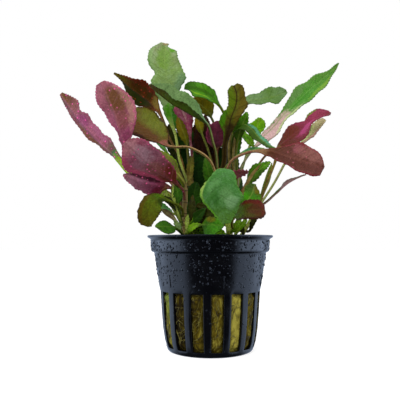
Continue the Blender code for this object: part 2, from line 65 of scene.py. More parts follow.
# A border that fades softly
SOFT = {"interpolation_type": "SMOOTHSTEP"}

Point = tuple[float, float, float]
Mesh = bmesh.types.BMesh
Edges = list[bmesh.types.BMEdge]
Tree = bpy.types.NodeTree
Adder = Callable[..., bpy.types.Node]
Socket = bpy.types.NodeSocket
Material = bpy.types.Material


def linear(code: str) -> tuple[float, float, float, float]:
    """Turns an sRGB hex colour into the linear values that a shader takes.

    Args:
        code: The colour as "#rrggbb".

    Returns:
        Red, green, blue and an alpha of one.
    """
    channels = [int(code[start : start + 2], 16) / 255 for start in (1, 3, 5)]
    values = [c / 12.92 if c <= 0.04045 else ((c + 0.055) / 1.055) ** 2.4 for c in channels]
    return (values[0], values[1], values[2], 1.0)


def add_node(tree: Tree, kind: str, inputs: dict | None = None, **settings: object) -> bpy.types.Node:
    """Adds a shader node with its inputs and its settings.

    Args:
        tree: The node tree that takes it.
        kind: The node's type, without the prefix that all shader nodes share.
        inputs: Socket names or numbers, each with a value, the output that feeds it, or a node whose
            first output feeds it.
        settings: Property names and values. The stops of a ramp are pairs of a place and a colour.

    Returns:
        The new node.
    """
    node = tree.nodes.new("ShaderNode" + kind)
    stops = settings.pop("stops", ())
    for name, value in settings.items():
        setattr(node, name, value)
    for number, (place, colour) in enumerate(stops):
        elements = node.color_ramp.elements
        while len(elements) < len(stops):
            elements.new(0.5)
        elements[number].position = place
        elements[number].color = colour
    for name, value in (inputs or {}).items():
        if isinstance(value, bpy.types.Node):
            value = value.outputs[0]
        if isinstance(value, Socket):
            tree.links.new(value, node.inputs[name])
        else:
            node.inputs[name].default_value = value
    return node


def new_material(name: str) -> tuple[Material, Tree]:
    """Makes an empty node material.

    Args:
        name: The material's name.

    Returns:
        The material and its node tree, with only the output node in it.
    """
    material = bpy.data.materials.new(name)
    material.use_nodes = True
    tree = material.node_tree
    for node in list(tree.nodes):
        if node.type != "OUTPUT_MATERIAL":
            tree.nodes.remove(node)
    return material, tree


def finish_material(tree: Tree, sockets: dict) -> None:
    """Closes a material with a Principled shader.

    Args:
        tree: The material's node tree.
        sockets: The shader's inputs, each a value, an output or a node.
    """
    shader = add_node(tree, "BsdfPrincipled", sockets)
    tree.links.new(shader.outputs[0], tree.nodes["Material Output"].inputs["Surface"])


def smooth_point(points: list[Vector], at: float) -> Vector:
    """Finds a place on the smooth curve through some points.

    Args:
        points: The points that the curve passes.
        at: The place, from 0 to the last index.

    Returns:
        The point there.
    """
    last = len(points) - 1
    start = max(0, min(int(at), last - 1))
    step = at - start
    near = points[start]
    far = points[start + 1]
    before = points[start - 1] if start > 0 else 2 * near - far
    after = points[start + 2] if start + 2 <= last else 2 * far - near
    return 0.5 * (
        2 * near
        + (far - before) * step
        + (2 * before - 5 * near + 4 * far - after) * step**2
        + (3 * near - before - 3 * far + after) * step**3
    )


def running_lengths(points: list[Vector]) -> list[float]:
    """Gives the length of the way from the first point to each of them."""
    lengths = [0.0]
    for one, two in zip(points, points[1:]):
        lengths.append(lengths[-1] + (two - one).length)
    return lengths


def square_to(direction: Vector, axis: Vector) -> Vector:
    """Makes a direction square to an axis."""
    return (direction - axis * direction.dot(axis)).normalized()


def carried_frames(points: list[Vector], face: Vector, start: int) -> list[tuple[Vector, Vector]]:
    """Carries a facing direction along a row of points without turning it about them.

    Args:
        points: The points of the row.
        face: What the upper side looks towards at the start.
        start: The point where the direction is given.

    Returns:
        For each point the direction that the upper side faces, and the direction to its left.
    """
    count = len(points)
    along = []
    for number in range(count):
        before = points[max(number - 1, 0)]
        after = points[min(number + 1, count - 1)]
        along.append((after - before).normalized())
    ups: list[Vector] = [face] * count
    ups[start] = square_to(face, along[start])
    for number in range(start - 1, -1, -1):
        ups[number] = square_to(ups[number + 1], along[number])
    for number in range(start + 1, count):
        ups[number] = square_to(ups[number - 1], along[number])
    return [(up, up.cross(along[number])) for number, up in enumerate(ups)]


def lay_tube(
    bm: Mesh, points: list[Vector], sides: int, radius_at: Callable[[int, float], float]
) -> dict[bmesh.types.BMVert, tuple[int, float]]:
    """Wraps a grid round a row of points. Its seam and its ends are still to be closed.

    Args:
        bm: The mesh that takes it.
        points: The middle line, in millimetres.
        sides: How many faces it has round.
        radius_at: Gives the radius from the point's number and the angle round the line.

    Returns:
        For each new vertex the number of its point and its angle.
    """
    frames = carried_frames(points, Vector((0, -1, 0)), 0)
    steps = len(points) - 1
    places = {}
    for vert in bmesh.ops.create_grid(bm, x_segments=steps, y_segments=sides, size=0.5)["verts"]:
        number = round((vert.co.x + 0.5) * steps)
        angle = math.tau * round((vert.co.y + 0.5) * sides) / sides
        up, left = frames[number]
        spoke = (left * math.cos(angle) + up * math.sin(angle)) * radius_at(number, angle)
        vert.co = (points[number] + spoke) * MM
        places[vert] = (number, angle)
    return places


def gather(whole: Mesh, part: Mesh) -> None:
    """Adds a small mesh to a large one and frees it: an operator is slow in a large mesh."""
    mesh = bpy.data.meshes.new("part")
    part.to_mesh(mesh)
    part.free()
    whole.from_mesh(mesh)
    bpy.data.meshes.remove(mesh)


def close_tubes(bm: Mesh, sides: int) -> None:
    """Joins the seams of tubes, fills their ends and turns their faces outwards."""
    bmesh.ops.remove_doubles(bm, verts=bm.verts, dist=1e-7)
    bmesh.ops.holes_fill(bm, edges=bm.edges, sides=sides)
    bmesh.ops.recalc_face_normals(bm, faces=bm.faces)


def put_in_scene(name: str, bm: Mesh, materials: list[Material]) -> bpy.types.Object:
    """Makes a smooth-shaded object from a bmesh, riding on the part's one body.

    Args:
        name: The piece's name.
        bm: The shape, in metres, which is freed.
        materials: The materials, in the order of their slots.

    Returns:
        The new object.
    """
    for face in bm.faces:
        face.smooth = True
    mesh = bpy.data.meshes.new(name)
    bm.to_mesh(mesh)
    bm.free()
    obj = bpy.data.objects.new(name, mesh)
    for material in materials:
        mesh.materials.append(material)
    bpy.context.scene.collection.objects.link(obj)
    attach(obj, ROOT)
    return obj


def report(obj: bpy.types.Object, slot: str, node: str | None = None) -> None:
    """Hides the solid that a piece replaces and logs the piece.

    Args:
        obj: The piece.
        slot: The record's material slot, which is only logged.
        node: The solid that it replaces, or None for a piece of its own.
    """
    if node:
        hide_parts(node)
    LOG.info("%s: %d faces, slot %s", obj.name, len(obj.data.polygons), slot)


@dataclass(frozen=True)
class Finish:
    """A finish, whose material is made when a piece first asks for it."""

    name: str

    def build(self) -> Material:
        """Builds the material, or finds it when it is already made."""
        material = bpy.data.materials.get(self.name)
        if not material:
            material, tree = new_material(self.name)
            finish_material(tree, self.sockets(partial(add_node, tree)))
        return material

    def sockets(self, add: Adder) -> dict:
        """Adds the nodes and gives the shader's inputs."""
        raise NotImplementedError


@dataclass(frozen=True)
class Patch:
    """A patch of colour on a leaf: its tone, middle, size and strength. Some are stains and some painted
    light and shade.

    Across runs from -1 at the right margin to 1 at the left one, seen on the upper side with the tip
    away, and along from 0 at the neck to 1 at the tip. Wide and tall are its whole size in the same shares.
    """

    tone: str
    across: float
    along: float
    wide: float
    tall: float
    amount: float = 0.85


@dataclass(frozen=True)
class LeafFinish(Finish):
    """Living leaf skin: a thin waxy layer over soft tissue, so it gleams softly and its colour drifts.

    The five tones run from stalk to tip. Patches, mottling, veins, margins and drops of water lie on them.
    Some patches are stains and some painted light and shade, and a drop's pale tone is a painted glint with
    a ring of painted shade round it.
    """

    tones: str
    patches: tuple[Patch, ...] = ()
    mottle: str = "#000000"
    mottle_amount: float = 0.0
    mottle_size: float = 3.0
    margin: str = "#3a2a1c"
    margin_amount: float = 0.4
    vein: str = "#2c4a12"
    vein_amount: float = 0.15
    midrib: str = "#9aa860"
    midrib_amount: float = 0.25
    # The tone of the drops of water is a painted glint of light
    drop: str = "#ffc8e8"
    drop_amount: float = 0.0
    roughness: float = 0.48
    gloss: float = 0.12
    coat: float = 0.02
    # The tint scales the colour: warmer, as painted warm light, and lighter or darker for each leaf as a
    # whole
    tint: Point = (0.9, 0.9, 0.58)

    PLACES = (STALK_SHARE, 0.37, 0.50, 0.78, 1.0)

    def sockets(self, add: Adder) -> dict:
        """Adds the nodes and gives the shader's inputs."""
        share = add("UVMap", uv_map="share").outputs[0]
        size = add("UVMap", uv_map="size").outputs[0]
        masks = self._masks(add, share, size)
        colour = self._tones(add, share, masks["blotch"])
        spots = add("Math", {0: masks["mottle"], 1: self.mottle_amount}, operation="MULTIPLY")
        colour = self._lay(add, colour, spots.outputs[0], self.mottle)
        for patch in self.patches:
            mask = self._patch_mask(add, patch, share, masks["blotch"])
            colour = self._lay(add, colour, mask, patch.tone)
        for layer, tone, amount in (
            ("vein", self.vein, self.vein_amount),
            ("midrib", self.midrib, self.midrib_amount),
            ("margin", self.margin, self.margin_amount),
            # A ring of painted shade round each drop, then the drop's painted glint
            ("ring", self.margin, self.drop_amount * 0.5),
            ("drop", self.drop, self.drop_amount),
        ):
            if amount > 0:
                factor = add("Math", {0: masks[layer], 1: amount}, operation="MULTIPLY")
                colour = self._lay(add, colour, factor.outputs[0], tone)
        # Cells of 0.7 mm make the tissue uneven, darker and lighter by a fifth
        tissue = add("TexNoise", {"Vector": size, "Scale": 1 / 0.7, "Detail": 3.0, "Roughness": 0.6})
        shade = add(
            "MapRange", {"Value": tissue, "From Min": 0.3, "From Max": 0.7, "To Min": 0.72, "To Max": 1.2},
        )
        # The tint is painted warm light, and the tissue's unevenness scales it
        warm_light_and_tissue = add("VectorMath", {0: self.tint, "Scale": shade}, operation="SCALE")
        colour = add("VectorMath", {0: colour, 1: warm_light_and_tissue}, operation="MULTIPLY").outputs[0]
        rough = add(
            "MapRange",
            {"Value": masks["mottle"], "To Min": self.roughness - 0.06, "To Max": self.roughness + 0.08},
        )
        return {
            "Base Color": colour, "Roughness": rough, "Normal": self._relief(add, masks), "IOR": 1.42,
            "Specular IOR Level": self.gloss, "Coat Weight": self.coat, "Coat Roughness": 0.25,
        }

    def _lay(self, add: Adder, colour: Socket, mask: Socket, tone: str) -> Socket:
        """Lays a tone over a colour where the mask is."""
        mixed = add("Mix", {0: mask, 6: colour, 7: linear(tone)}, data_type="RGBA")
        return mixed.outputs[2]

    def _patch_mask(self, add: Adder, patch: Patch, share: Socket, blotch: Socket) -> Socket:
        """Makes the mask of a patch, an oval with an uneven border."""
        wide = 4 / patch.wide
        tall = 2 / ((1 - STALK_SHARE) * patch.tall)
        middle = (0.5 + patch.across / 2, STALK_SHARE + (1 - STALK_SHARE) * patch.along)
        place = add(
            "Mapping",
            {0: share, "Location": (-middle[0] * wide, -middle[1] * tall, 0), "Scale": (wide, tall, 0)},
        )
        reach = add("VectorMath", {0: place}, operation="LENGTH")
        ragged = add("Math", {0: blotch, 1: 1.6, 2: reach.outputs["Value"]}, operation="MULTIPLY_ADD")
        patch_mask = add(
            "MapRange", {"Value": ragged, "From Min": 2.1, "From Max": 1.4, "To Max": patch.amount}, **SOFT,
        )
        return patch_mask.outputs[0]

    def _tones(self, add: Adder, share: Socket, blotch: Socket) -> Socket:
        """Runs the five tones from stalk to tip, with a soft uneven border between them."""
        split = add("SeparateXYZ", {0: share})
        shift = add("Math", {0: blotch, 1: 0.16, 2: split.outputs[1]}, operation="MULTIPLY_ADD")
        stops = [*zip(self.PLACES, map(linear, self.tones.split()))]
        return add("ValToRGB", {0: shift}, stops=stops).outputs[0]

    def _masks(self, add: Adder, share: Socket, size: Socket) -> dict[str, Socket]:
        """Makes the mask of each layer.

        Args:
            add: Adds a node to the material.
            share: Across and along as shares of the leaf.
            size: Across and along in millimetres.

        Returns:
            The masks by the name of their layer, with the blotches behind them and the fine network.
        """
        shares = add("SeparateXYZ", {0: share}).outputs
        lengths = add("SeparateXYZ", {0: size}).outputs
        away = add("Math", {0: lengths[0]}, operation="ABSOLUTE").outputs[0]
        # Blotches of the mottle size, three millimetres on most leaves
        blotch = add(
            "TexNoise", {"Vector": size, "Scale": 1.0 / self.mottle_size, "Detail": 4.0, "Roughness": 0.62},
        ).outputs[0]
        # Side veins leave the midrib every 4.2 mm and lean towards the tip
        bend = add("Math", {0: away, 1: -VEIN_LEAN, 2: lengths[1]}, operation="MULTIPLY_ADD")
        drift = add("Math", {0: blotch, 1: 1.6, 2: bend}, operation="MULTIPLY_ADD")
        paced = add("Math", {0: drift, 1: VEIN_PITCH}, operation="DIVIDE")
        nearest = add("Math", {0: paced, 1: 0.5}, operation="PINGPONG")
        # Distance from the middle as a share of the half-width, so the margin is the last eighth
        centred = add("Math", {0: shares[0], 1: 2.0, 2: -1.0}, operation="MULTIPLY_ADD")
        outward = add("Math", {0: centred}, operation="ABSOLUTE")
        rim = add("Math", {0: blotch, 1: 0.3, 2: outward}, operation="MULTIPLY_ADD")
        # Drops of water up to 0.8 mm across, in about half of the cells of 2.2 mm, each with a painted glint
        # and a ring of painted shade
        cells = add("TexVoronoi", {"Vector": size, "Scale": 1 / 2.2}, voronoi_dimensions="2D")
        chance = add("SeparateColor", {0: cells.outputs["Color"]})
        radius = add("MapRange", {"Value": chance, "From Min": 0.5, "To Max": 0.19})
        inside = add("Math", {0: radius, 1: cells.outputs["Distance"]}, operation="SUBTRACT")
        # The finest network of veins, drawn 1.1 mm wide so that it shows
        net = add(
            "TexVoronoi", {"Vector": size, "Scale": 1 / 1.1}, voronoi_dimensions="2D",
            feature="DISTANCE_TO_EDGE",
        )
        masks = {"blotch": blotch, "net": net.outputs["Distance"]}
        for layer, value, low, high in (
            ("mottle", blotch, 0.42, 0.64),
            ("vein", nearest.outputs[0], 0.12, 0.02),
            ("midrib", away, 0.6, 0.2),
            ("margin", rim.outputs[0], 0.98, 1.12),
            ("ring", inside.outputs[0], -0.1, 0.0),
            ("drop", inside.outputs[0], -0.02, 0.06),
        ):
            edge = add("MapRange", {"Value": value, "From Min": low, "From Max": high}, **SOFT)
            masks[layer] = edge.outputs[0]
        return masks

    def _relief(self, add: Adder, masks: dict[str, Socket]) -> Socket:
        """Sinks the veins and lifts the tissue between them and the drops."""
        cells = add("MapRange", {"Value": masks["net"], "From Max": 0.3, "To Max": 0.5})
        height = add("Math", {0: cells, 1: masks["vein"]}, operation="SUBTRACT")
        beads = add(
            "Math", {0: masks["drop"], 1: 2.0 * self.drop_amount, 2: height}, operation="MULTIPLY_ADD",
        )
        bump = add("Bump", {"Height": beads, "Strength": 0.4, "Distance": 0.2 * MM})
        return bump.outputs[0]


GREEN = LeafFinish(
    "green_leaf", "#7c7a2c #4f7c22 #3f7a1e #3c7820 #466f20", mottle="#2c5c12", mottle_amount=0.6,
)
DARK = LeafFinish(
    "dark_leaf", "#4c5a1c #2c4a14 #22440f #20400e #2a4a14", mottle="#142c0a", mottle_amount=0.6,
    midrib="#3f5c20",
)
LIME = LeafFinish(
    "lime_leaf", "#7f8a3a #649a14 #5aa008 #56a004 #6a9a1a", mottle="#3c7a0c", mottle_amount=0.45,
    margin="#5a6a18",
)
OLIVE = LeafFinish(
    "olive_leaf", "#7a6a34 #5e6a1c #646a1a #5c5a16 #5a4814", mottle="#463f10", mottle_amount=0.5,
    margin="#43240f",
)
SAGE = LeafFinish(
    "sage_leaf", "#8a8a5c #76985c #789868 #7a986c #7c9268", mottle="#8aa88c", mottle_amount=0.45,
    margin="#4f7c38",
)
BRONZE = LeafFinish(
    "bronze_leaf", "#74502e #55331f #582a1c #602c24 #66302c", mottle="#3c2014", mottle_amount=0.5,
    vein="#3a1814", midrib="#7a4630", margin="#4a1418", gloss=0.18,
)
MAUVE = LeafFinish(
    "mauve_underside", "#80683a #85505a #925068 #96587a #905468", mottle="#703a50", mottle_amount=0.5,
    vein="#b07c98", vein_amount=0.12, midrib="#a8688a", midrib_amount=0.35, margin="#a8417a",
    drop="#f468bc", drop_amount=0.9, tint=(1.08, 1, 0.76),
)
MAGENTA = LeafFinish(
    "magenta_leaf", "#7a5a3a #5a2420 #8a2c50 #a02f68 #943a64", mottle="#6a2438", mottle_amount=0.4,
    vein="#6a1c40", midrib="#b05c80", margin="#7a2448", drop_amount=0.5,
)
PALE = LeafFinish(
    "pale_leaf", "#8a9a54 #8f9c60 #9aa474 #98a070 #a0967a", mottle="#8a7a6a", mottle_amount=0.5,
    vein="#bcc49c", midrib="#b0b888", margin="#7a705a",
)
PALE_UNDER = LeafFinish(
    "pale_underside", "#84904c #6c9450 #689450 #6c9854 #749458", mottle="#70684c", mottle_amount=0.5,
    vein="#8a9870", midrib="#949468", margin="#6c444a",
)

# Left of the pot, the undersides that turn to the eye are mauve with drops of water, whose glints are
# painted
FAR_LEFT = replace(
    MAUVE, name="far_left_underside", tones="#7a9a1c #4a6f3c #90546c #a0607e #70503a",
    tint=(1.2, 1.18, 1.05),
    patches=(
        Patch("#76522e", -0.75, 0.4, 0.8, 0.55, 0.8), Patch("#6c4c2a", 0, 0.97, 2, 0.16, 0.8),
        Patch("#8a3f74", 0.3, 0.6, 0.9, 0.16, 0.7), Patch("#a8628c", 0.6, 0.35, 0.7, 0.3, 0.6),
        Patch("#2f6a48", -0.2, 0.04, 2, 0.14, 0.95), Patch("#84b008", 0, -0.1, 4, 0.3, 1),
    ),
)
LEFT_PURPLE = replace(
    MAUVE, name="left_purple_underside", tones="#80683a #8c3c6c #94487a #9c5c7e #a86888", margin="#b85c96",
    margin_amount=0.6,
    patches=(
        Patch("#66481f", 0.3, 0.7, 1.1, 0.42, 0.85), Patch("#7c4c48", 0.2, 0.4, 0.9, 0.3, 0.6),
        Patch("#b08488", 0.85, 0.55, 0.55, 0.6, 0.7),
    ),
)
LEFT_OLIVE = replace(
    OLIVE, name="left_olive_leaf", tones="#c8a488 #6a4a2a #5a4c1c #66661f #5c4a24", mottle="#54491a",
    midrib="#5c4a20", margin="#3a140c", margin_amount=0.7,
    patches=(
        Patch("#5c3420", 0.45, 0.5, 0.9, 1.2, 0.85), Patch("#3c160e", 0.95, 0.4, 0.5, 1.2, 0.95),
        Patch("#646c1e", -0.6, 0.55, 0.8, 0.8, 0.8), Patch("#8c5058", 0, 0.04, 2, 0.16, 0.8),
    ),
)
LEFT_RED = replace(
    BRONZE, name="left_red_underside", tones="#8c6a58 #7a3418 #582a18 #4c2612 #57521e", mottle="#2a2c0c",
    mottle_amount=0.7, margin="#6a1418", margin_amount=0.6, drop="#e04848", drop_amount=0.35, gloss=0.04,
    tint=(1.15, 1.25, 0.66),
    patches=(
        Patch("#2c3610", -0.55, 0.55, 1, 0.8, 0.85), Patch("#64201a", 0.85, 0.5, 0.5, 0.9, 0.7),
        Patch("#8a7048", 0.5, 0.1, 1.2, 0.2, 0.85),
    ),
)
FRONT_MAUVE = replace(
    MAUVE, name="front_mauve_underside", tones="#6a4a20 #602a20 #763a48 #86587a #965078", midrib="#7a4058",
    mottle="#6c3048",
    patches=(
        Patch("#9a3c68", -0.9, 0.55, 0.5, 1, 0.8), Patch("#987c9c", 0.2, 0.75, 0.9, 0.45, 0.7),
        Patch("#b07c94", -0.1, 0.92, 1.8, 0.2, 0.6), Patch("#5c2c1c", -0.2, 0.16, 0.8, 0.2, 0.6),
        Patch("#70463c", 0, 0.4, 1, 0.3, 0.5), Patch("#64281e", 0.6, 0.12, 1.4, 0.35, 0.8),
    ),
)
LEFT_STRAP = replace(
    OLIVE, name="strap_leaf", tones="#5c4c20 #6a641f #647c14 #6c8418 #767c2c", mottle="#54601a",
    midrib="#a8ac60", midrib_amount=0.7, margin="#80a81c", margin_amount=0.5,
    patches=(Patch("#7c7440", -0.6, 0.5, 0.6, 1.4, 0.7), Patch("#7aa80c", 0.6, 0.6, 0.5, 0.8, 0.6)),
)
LOW_PURPLE = replace(
    MAUVE, name="low_purple_underside", tones="#80683a #6a2038 #84386a #94608c #986c90", midrib_amount=0.1,
    # The near-black patch along its left half is painted shadow of the leaf in front
    patches=(Patch("#3a0f24", 0.8, 0.45, 1, 1.1, 0.9), Patch("#6c1c34", -0.6, 0.15, 0.9, 0.2, 0.7)),
)
LOW_OLIVE = replace(
    OLIVE, name="low_olive_leaf", tones="#6c7c1c #46700f #54660c #5c640c #5a540e", tint=(0.84, 0.86, 0.5),
    midrib="#66701c", margin="#3c2008", margin_amount=0.6,
    patches=(Patch("#5a4610", -0.85, 0.6, 0.5, 1, 0.8), Patch("#2c3a0a", 0.5, 0.05, 1.4, 0.24, 0.8)),
)

# Above the middle the upper sides are sage, green and olive
TOP_SAGE = replace(
    SAGE, name="top_sage_leaf", tones="#b4c070 #509428 #7a9470 #789660 #869080", vein="#5c8440",
    vein_amount=0.3, midrib="#8aa070", midrib_amount=0.2,
    patches=(
        Patch("#6c9440", 0, 0.8, 1.1, 0.35, 0.75), Patch("#569420", -0.7, 0.91, 0.5, 0.1, 0.95),
        Patch("#98806c", -0.2, 1, 1.6, 0.07, 0.8), Patch("#688c7a", -0.75, 0.42, 0.7, 0.3, 0.75),
        Patch("#84a47e", 0.85, 0.72, 0.3, 0.5, 0.7), Patch("#4c9414", 0, 0.13, 2, 0.16, 0.9),
        Patch("#b4c070", 0, -0.15, 4, 0.24, 1),
    ),
)
FOLDED_INSIDE = replace(
    SAGE, name="folded_inside", tones="#8a9060 #6f9470 #6c9068 #6c8c68 #64805c", mottle="#4c6a48",
    mottle_amount=0.6, midrib="#3c4c1c", margin="#587c4c",
)
FOLDED_OUTSIDE = replace(
    DARK, name="folded_outside", tones="#4a3a1a #3c4c14 #3c5418 #425818 #4a3c14", mottle="#38300f",
    mottle_amount=0.4, midrib="#5c5c20", margin="#2a1a0a", margin_amount=0.6,
)
TOP_BRIGHT = replace(
    GREEN, name="bright_leaf", tones="#5c5c20 #36680c #387810 #3f8210 #2f640c", mottle="#2c6008",
    mottle_amount=0.5, vein="#285408", vein_amount=0.5, midrib="#2a5a08", tint=(1.08, 0.9, 0.4), gloss=0.06,
    patches=(Patch("#2c580a", -0.25, 0.55, 0.35, 1, 0.8), Patch("#74a81c", 0.45, 0.6, 0.3, 0.8, 0.6)),
)
TOP_YELLOW = replace(
    OLIVE, name="yellow_leaf", tones="#3a3210 #565c10 #757010 #867612 #846c0c", mottle="#565410",
)
CENTRE_TALL = replace(
    OLIVE, name="centre_tall_leaf", tones="#3c3010 #3c3c0c #4a4c0c #5c600f #5a5a0e", midrib="#2a1a08",
    midrib_amount=0.85, vein="#2c2a08", vein_amount=0.35,
    patches=(
        Patch("#56700c", 0.7, 0.62, 1, 1.1, 0.9), Patch("#5a4c0c", -0.7, 0.6, 0.9, 0.9, 0.85),
        Patch("#2c1a0a", -0.3, 0.05, 1.6, 0.3, 0.8), Patch("#437c0a", 0.85, 0.2, 0.8, 0.36, 0.95),
    ),
)
HANGING_PINK = replace(
    MAGENTA, name="hanging_pink_underside", tones="#2a1a10 #5c1830 #8c3460 #a04c7c #8c3c5c",
    mottle="#b88ca4", mottle_amount=0.4, drop_amount=0.15, tint=(1.2, 1.15, 0.9),
    # The pale pink patch in its middle is a painted highlight
    patches=(Patch("#6c0f30", 0.9, 0.5, 0.5, 1.2, 0.7), Patch("#c8a0b4", -0.1, 0.62, 0.3, 0.4, 0.7)),
)
DARK_PURPLE = replace(
    MAUVE, name="dark_purple_underside", tones="#80683a #30101a #481830 #54203a #5c2440", mottle="#2c0f1c",
    drop_amount=0, midrib_amount=0, vein_amount=0, tint=(1.1, 0.96, 0.74),
)
SMALL_DARK = replace(
    DARK_PURPLE, name="small_dark_leaf", tones="#80683a #30101a #5c3038 #60343c #5c2c38", mottle="#40202a",
)

# Right of the middle they run from sage to maroon
RIGHT_SAGE = replace(
    SAGE, name="right_sage_leaf", tones="#8a8a5c #86a07c #7c9868 #6c9044 #74946a", tint=(0.44, 0.52, 0.28),
    mottle="#94b094", mottle_amount=0.4,
    patches=(Patch("#8ca88c", 0.5, 0.3, 1.2, 0.35, 0.6),),
)
FAR_RIGHT = replace(
    GREEN, name="far_right_leaf", tones="#c8bcb4 #bca0b0 #649450 #4f9434 #548434", tint=(0.78, 0.74, 0.5),
    mottle="#3c8420", midrib="#74a860", midrib_amount=0.3, margin="#7c8c6c",
    patches=(
        Patch("#d2aed0", -0.2, 0.13, 2.4, 0.46, 0.9), Patch("#bcd2ae", -0.85, 0.28, 0.4, 0.36, 0.85),
        Patch("#6a8440", 0.15, 0.14, 0.2, 0.4, 0.8), Patch("#5c8850", 0.6, 0.52, 0.7, 0.3, 0.8),
        Patch("#3c8418", -0.1, 0.5, 0.5, 0.24, 0.8), Patch("#80ac38", -0.75, 0.7, 0.4, 0.3, 0.6),
    ),
)
RIGHT_MAGENTA = replace(
    MAGENTA, name="right_magenta_leaf", tones="#9c9c40 #5c3420 #60301f #8c2c54 #8c3454",
    tint=(0.8, 0.68, 0.6), mottle="#6c2430", midrib="#84304c", drop_amount=0,
    patches=(
        Patch("#642c18", 0.4, 0.33, 1.5, 0.3, 0.9), Patch("#a84480", -0.45, 0.52, 0.6, 0.4, 0.85),
        Patch("#5f951c", 1, 0.74, 0.5, 0.3, 0.95), Patch("#6a3028", -0.5, 0.95, 1, 0.14, 0.8),
    ),
)
RIGHT_PALE = replace(
    PALE, name="right_pale_leaf", tint=(1.15, 1.1, 0.95),
    patches=(Patch("#a07478", -0.6, 0.4, 0.9, 0.9, 0.85), Patch("#4c6430", 0.95, 0.4, 0.35, 0.6, 0.9)),
)
RIGHT_DROOPING = replace(
    BRONZE, name="drooping_leaf", tones="#a88c60 #64401f #603424 #74443a #6c4038", tint=(0.76, 0.68, 0.66),
    mottle="#54261c", margin="#8a2038", margin_amount=0.6, midrib="#7c4c3c", midrib_amount=0.3,
    drop="#c87888", drop_amount=0.4,
    # The two pinkish patches on its left half are painted highlights
    patches=(
        Patch("#96505c", 0.6, 0.5, 0.6, 0.25, 0.8), Patch("#92605a", 0.6, 0.75, 1, 0.5, 0.75),
        Patch("#562c1c", -0.5, 0.45, 0.9, 0.8, 0.7),
    ),
)
ARCHED_GREEN = replace(
    GREEN, name="arched_leaf", tones="#4a4a14 #4c7c10 #40680f #3c641c #3a6434", mottle="#304c0c",
    patches=(
        Patch("#58988c", 0.8, 0.7, 1.1, 1, 0.95), Patch("#5c9418", 0.6, 0.12, 1, 0.26, 0.9),
        Patch("#38500c", -0.6, 0.5, 0.7, 0.7, 0.7),
    ),
)
THIN_RIGHT = replace(
    MAUVE, name="thin_right_underside", tones="#7c7c84 #847c84 #907c8c #9c8894 #8c8088", drop_amount=0,
)

# In front they turn from blue-green to dark red
# Its bluish mottle and its three pale bluish-green patches are painted sheen
FRONT_GREEN = replace(
    GREEN, name="front_green_leaf", tones="#6c6430 #40783c #3f743c #3c7038 #4a7430", mottle="#5c8c68",
    mottle_amount=0.45, mottle_size=2.4, vein_amount=0.08, midrib_amount=0, margin="#5a9038",
    margin_amount=0.4, tint=(0.84, 0.86, 0.56),
    patches=(
        Patch("#608c64", 0.2, 0.52, 0.7, 0.3, 0.6), Patch("#64966a", -0.5, 0.38, 0.5, 0.3, 0.5),
        Patch("#a0b06c", -1, 0.5, 0.22, 0.3, 0.9), Patch("#5a9a24", -1, 0.76, 0.26, 0.5, 0.9),
        Patch("#7ca48c", 0.5, 0.66, 0.7, 0.24, 0.6), Patch("#2c6020", -0.35, 0.55, 0.4, 0.3, 0.6),
    ),
)
FRONT_RED = replace(
    BRONZE, name="front_red_leaf", tones="#6a7a30 #3c5a0f #48500f #4c420f #54180f", mottle="#34380c",
    margin="#3c120c", margin_amount=0.7, midrib="#54441a", midrib_amount=0.3,
    patches=(
        Patch("#4c6810", -0.1, 0.16, 1.8, 0.44, 0.85), Patch("#5c100a", 0.85, 0.7, 0.6, 0.8, 0.85),
        Patch("#4c2010", 0, 0.7, 1, 0.5, 0.7), Patch("#5c2414", 0, 0.95, 2.4, 0.24, 0.8),
        Patch("#3a1c0c", -0.95, 0.6, 0.4, 1, 0.7),
    ),
)
FRONT_BRIGHT = replace(
    LIME, name="front_bright_leaf", tones="#7f8a3a #346c0c #3c800a #3f8808 #4a5c34", mottle="#2c6008",
    patches=(Patch("#665c12", -0.6, 0.85, 0.8, 0.22, 0.85),),
)
LIME_LEAF = replace(LIME, name="lime_blade", tones="#7f8a3a #649a14 #649c08 #64a000 #6a9a10")

# Deep inside they are nearly black with painted shade, and the shoots at the foot are lime
DEEP_SHADE = replace(
    DARK, name="painted_shade_green_leaf", tones="#2c3410 #16300a #123008 #163c0c #1c440f", mottle="#0a1c05",
    midrib="#24480f", margin="#0c1c06",
)
DEEP_GREEN = replace(
    DARK, name="shaded_green_leaf", tones="#4c6414 #2f540f #28500c #24480c #1c3c0a", mottle="#14300a",
)
DEEP_SHADE_OLIVE = replace(
    DARK, name="painted_shade_olive_leaf", tones="#3c3412 #2c2c0c #2f330c #343810 #3c3410", mottle="#181c06",
    midrib="#4c4c18", margin="#1c1006",
)
DEEP_SHADE_BROWN = replace(
    BRONZE, name="painted_shade_brown_leaf", tones="#3a200f #2a100a #34140c #3c180f #3c200f", mottle="#180805",
    midrib="#4c2414", margin="#200808",
)
MID_GREEN = replace(
    GREEN, name="mid_green_leaf", tones="#4c5c18 #38600f #346410 #3a6c14 #40701a", mottle="#1f400a",
    midrib_amount=0.1,
)
BOTTOM_GREEN = replace(
    MID_GREEN, name="bottom_green_leaf", tones="#4c5c18 #38600f #346410 #3f8414 #468818",
    patches=(Patch("#6c6414", 0.7, 0.4, 0.9, 0.4, 0.8),),
)
EDGE_GREEN = replace(
    GREEN, name="edge_green_leaf", tones="#7c7a2c #2f6010 #3c8018 #5c9418 #6aa014",
    patches=(Patch("#123c0c", 0.7, 0.3, 0.9, 0.6, 0.9),),
)
ARCH_BASE = replace(
    GREEN, name="arch_base_leaf", tones="#7c7a2c #3c5c0c #466810 #4c8010 #58a010", mottle="#304c0a",
)
TEAL = replace(GREEN, name="teal_strip", tones="#3c3c18 #2f5c2c #3c7450 #468460 #4c7c50", mottle="#24502c")
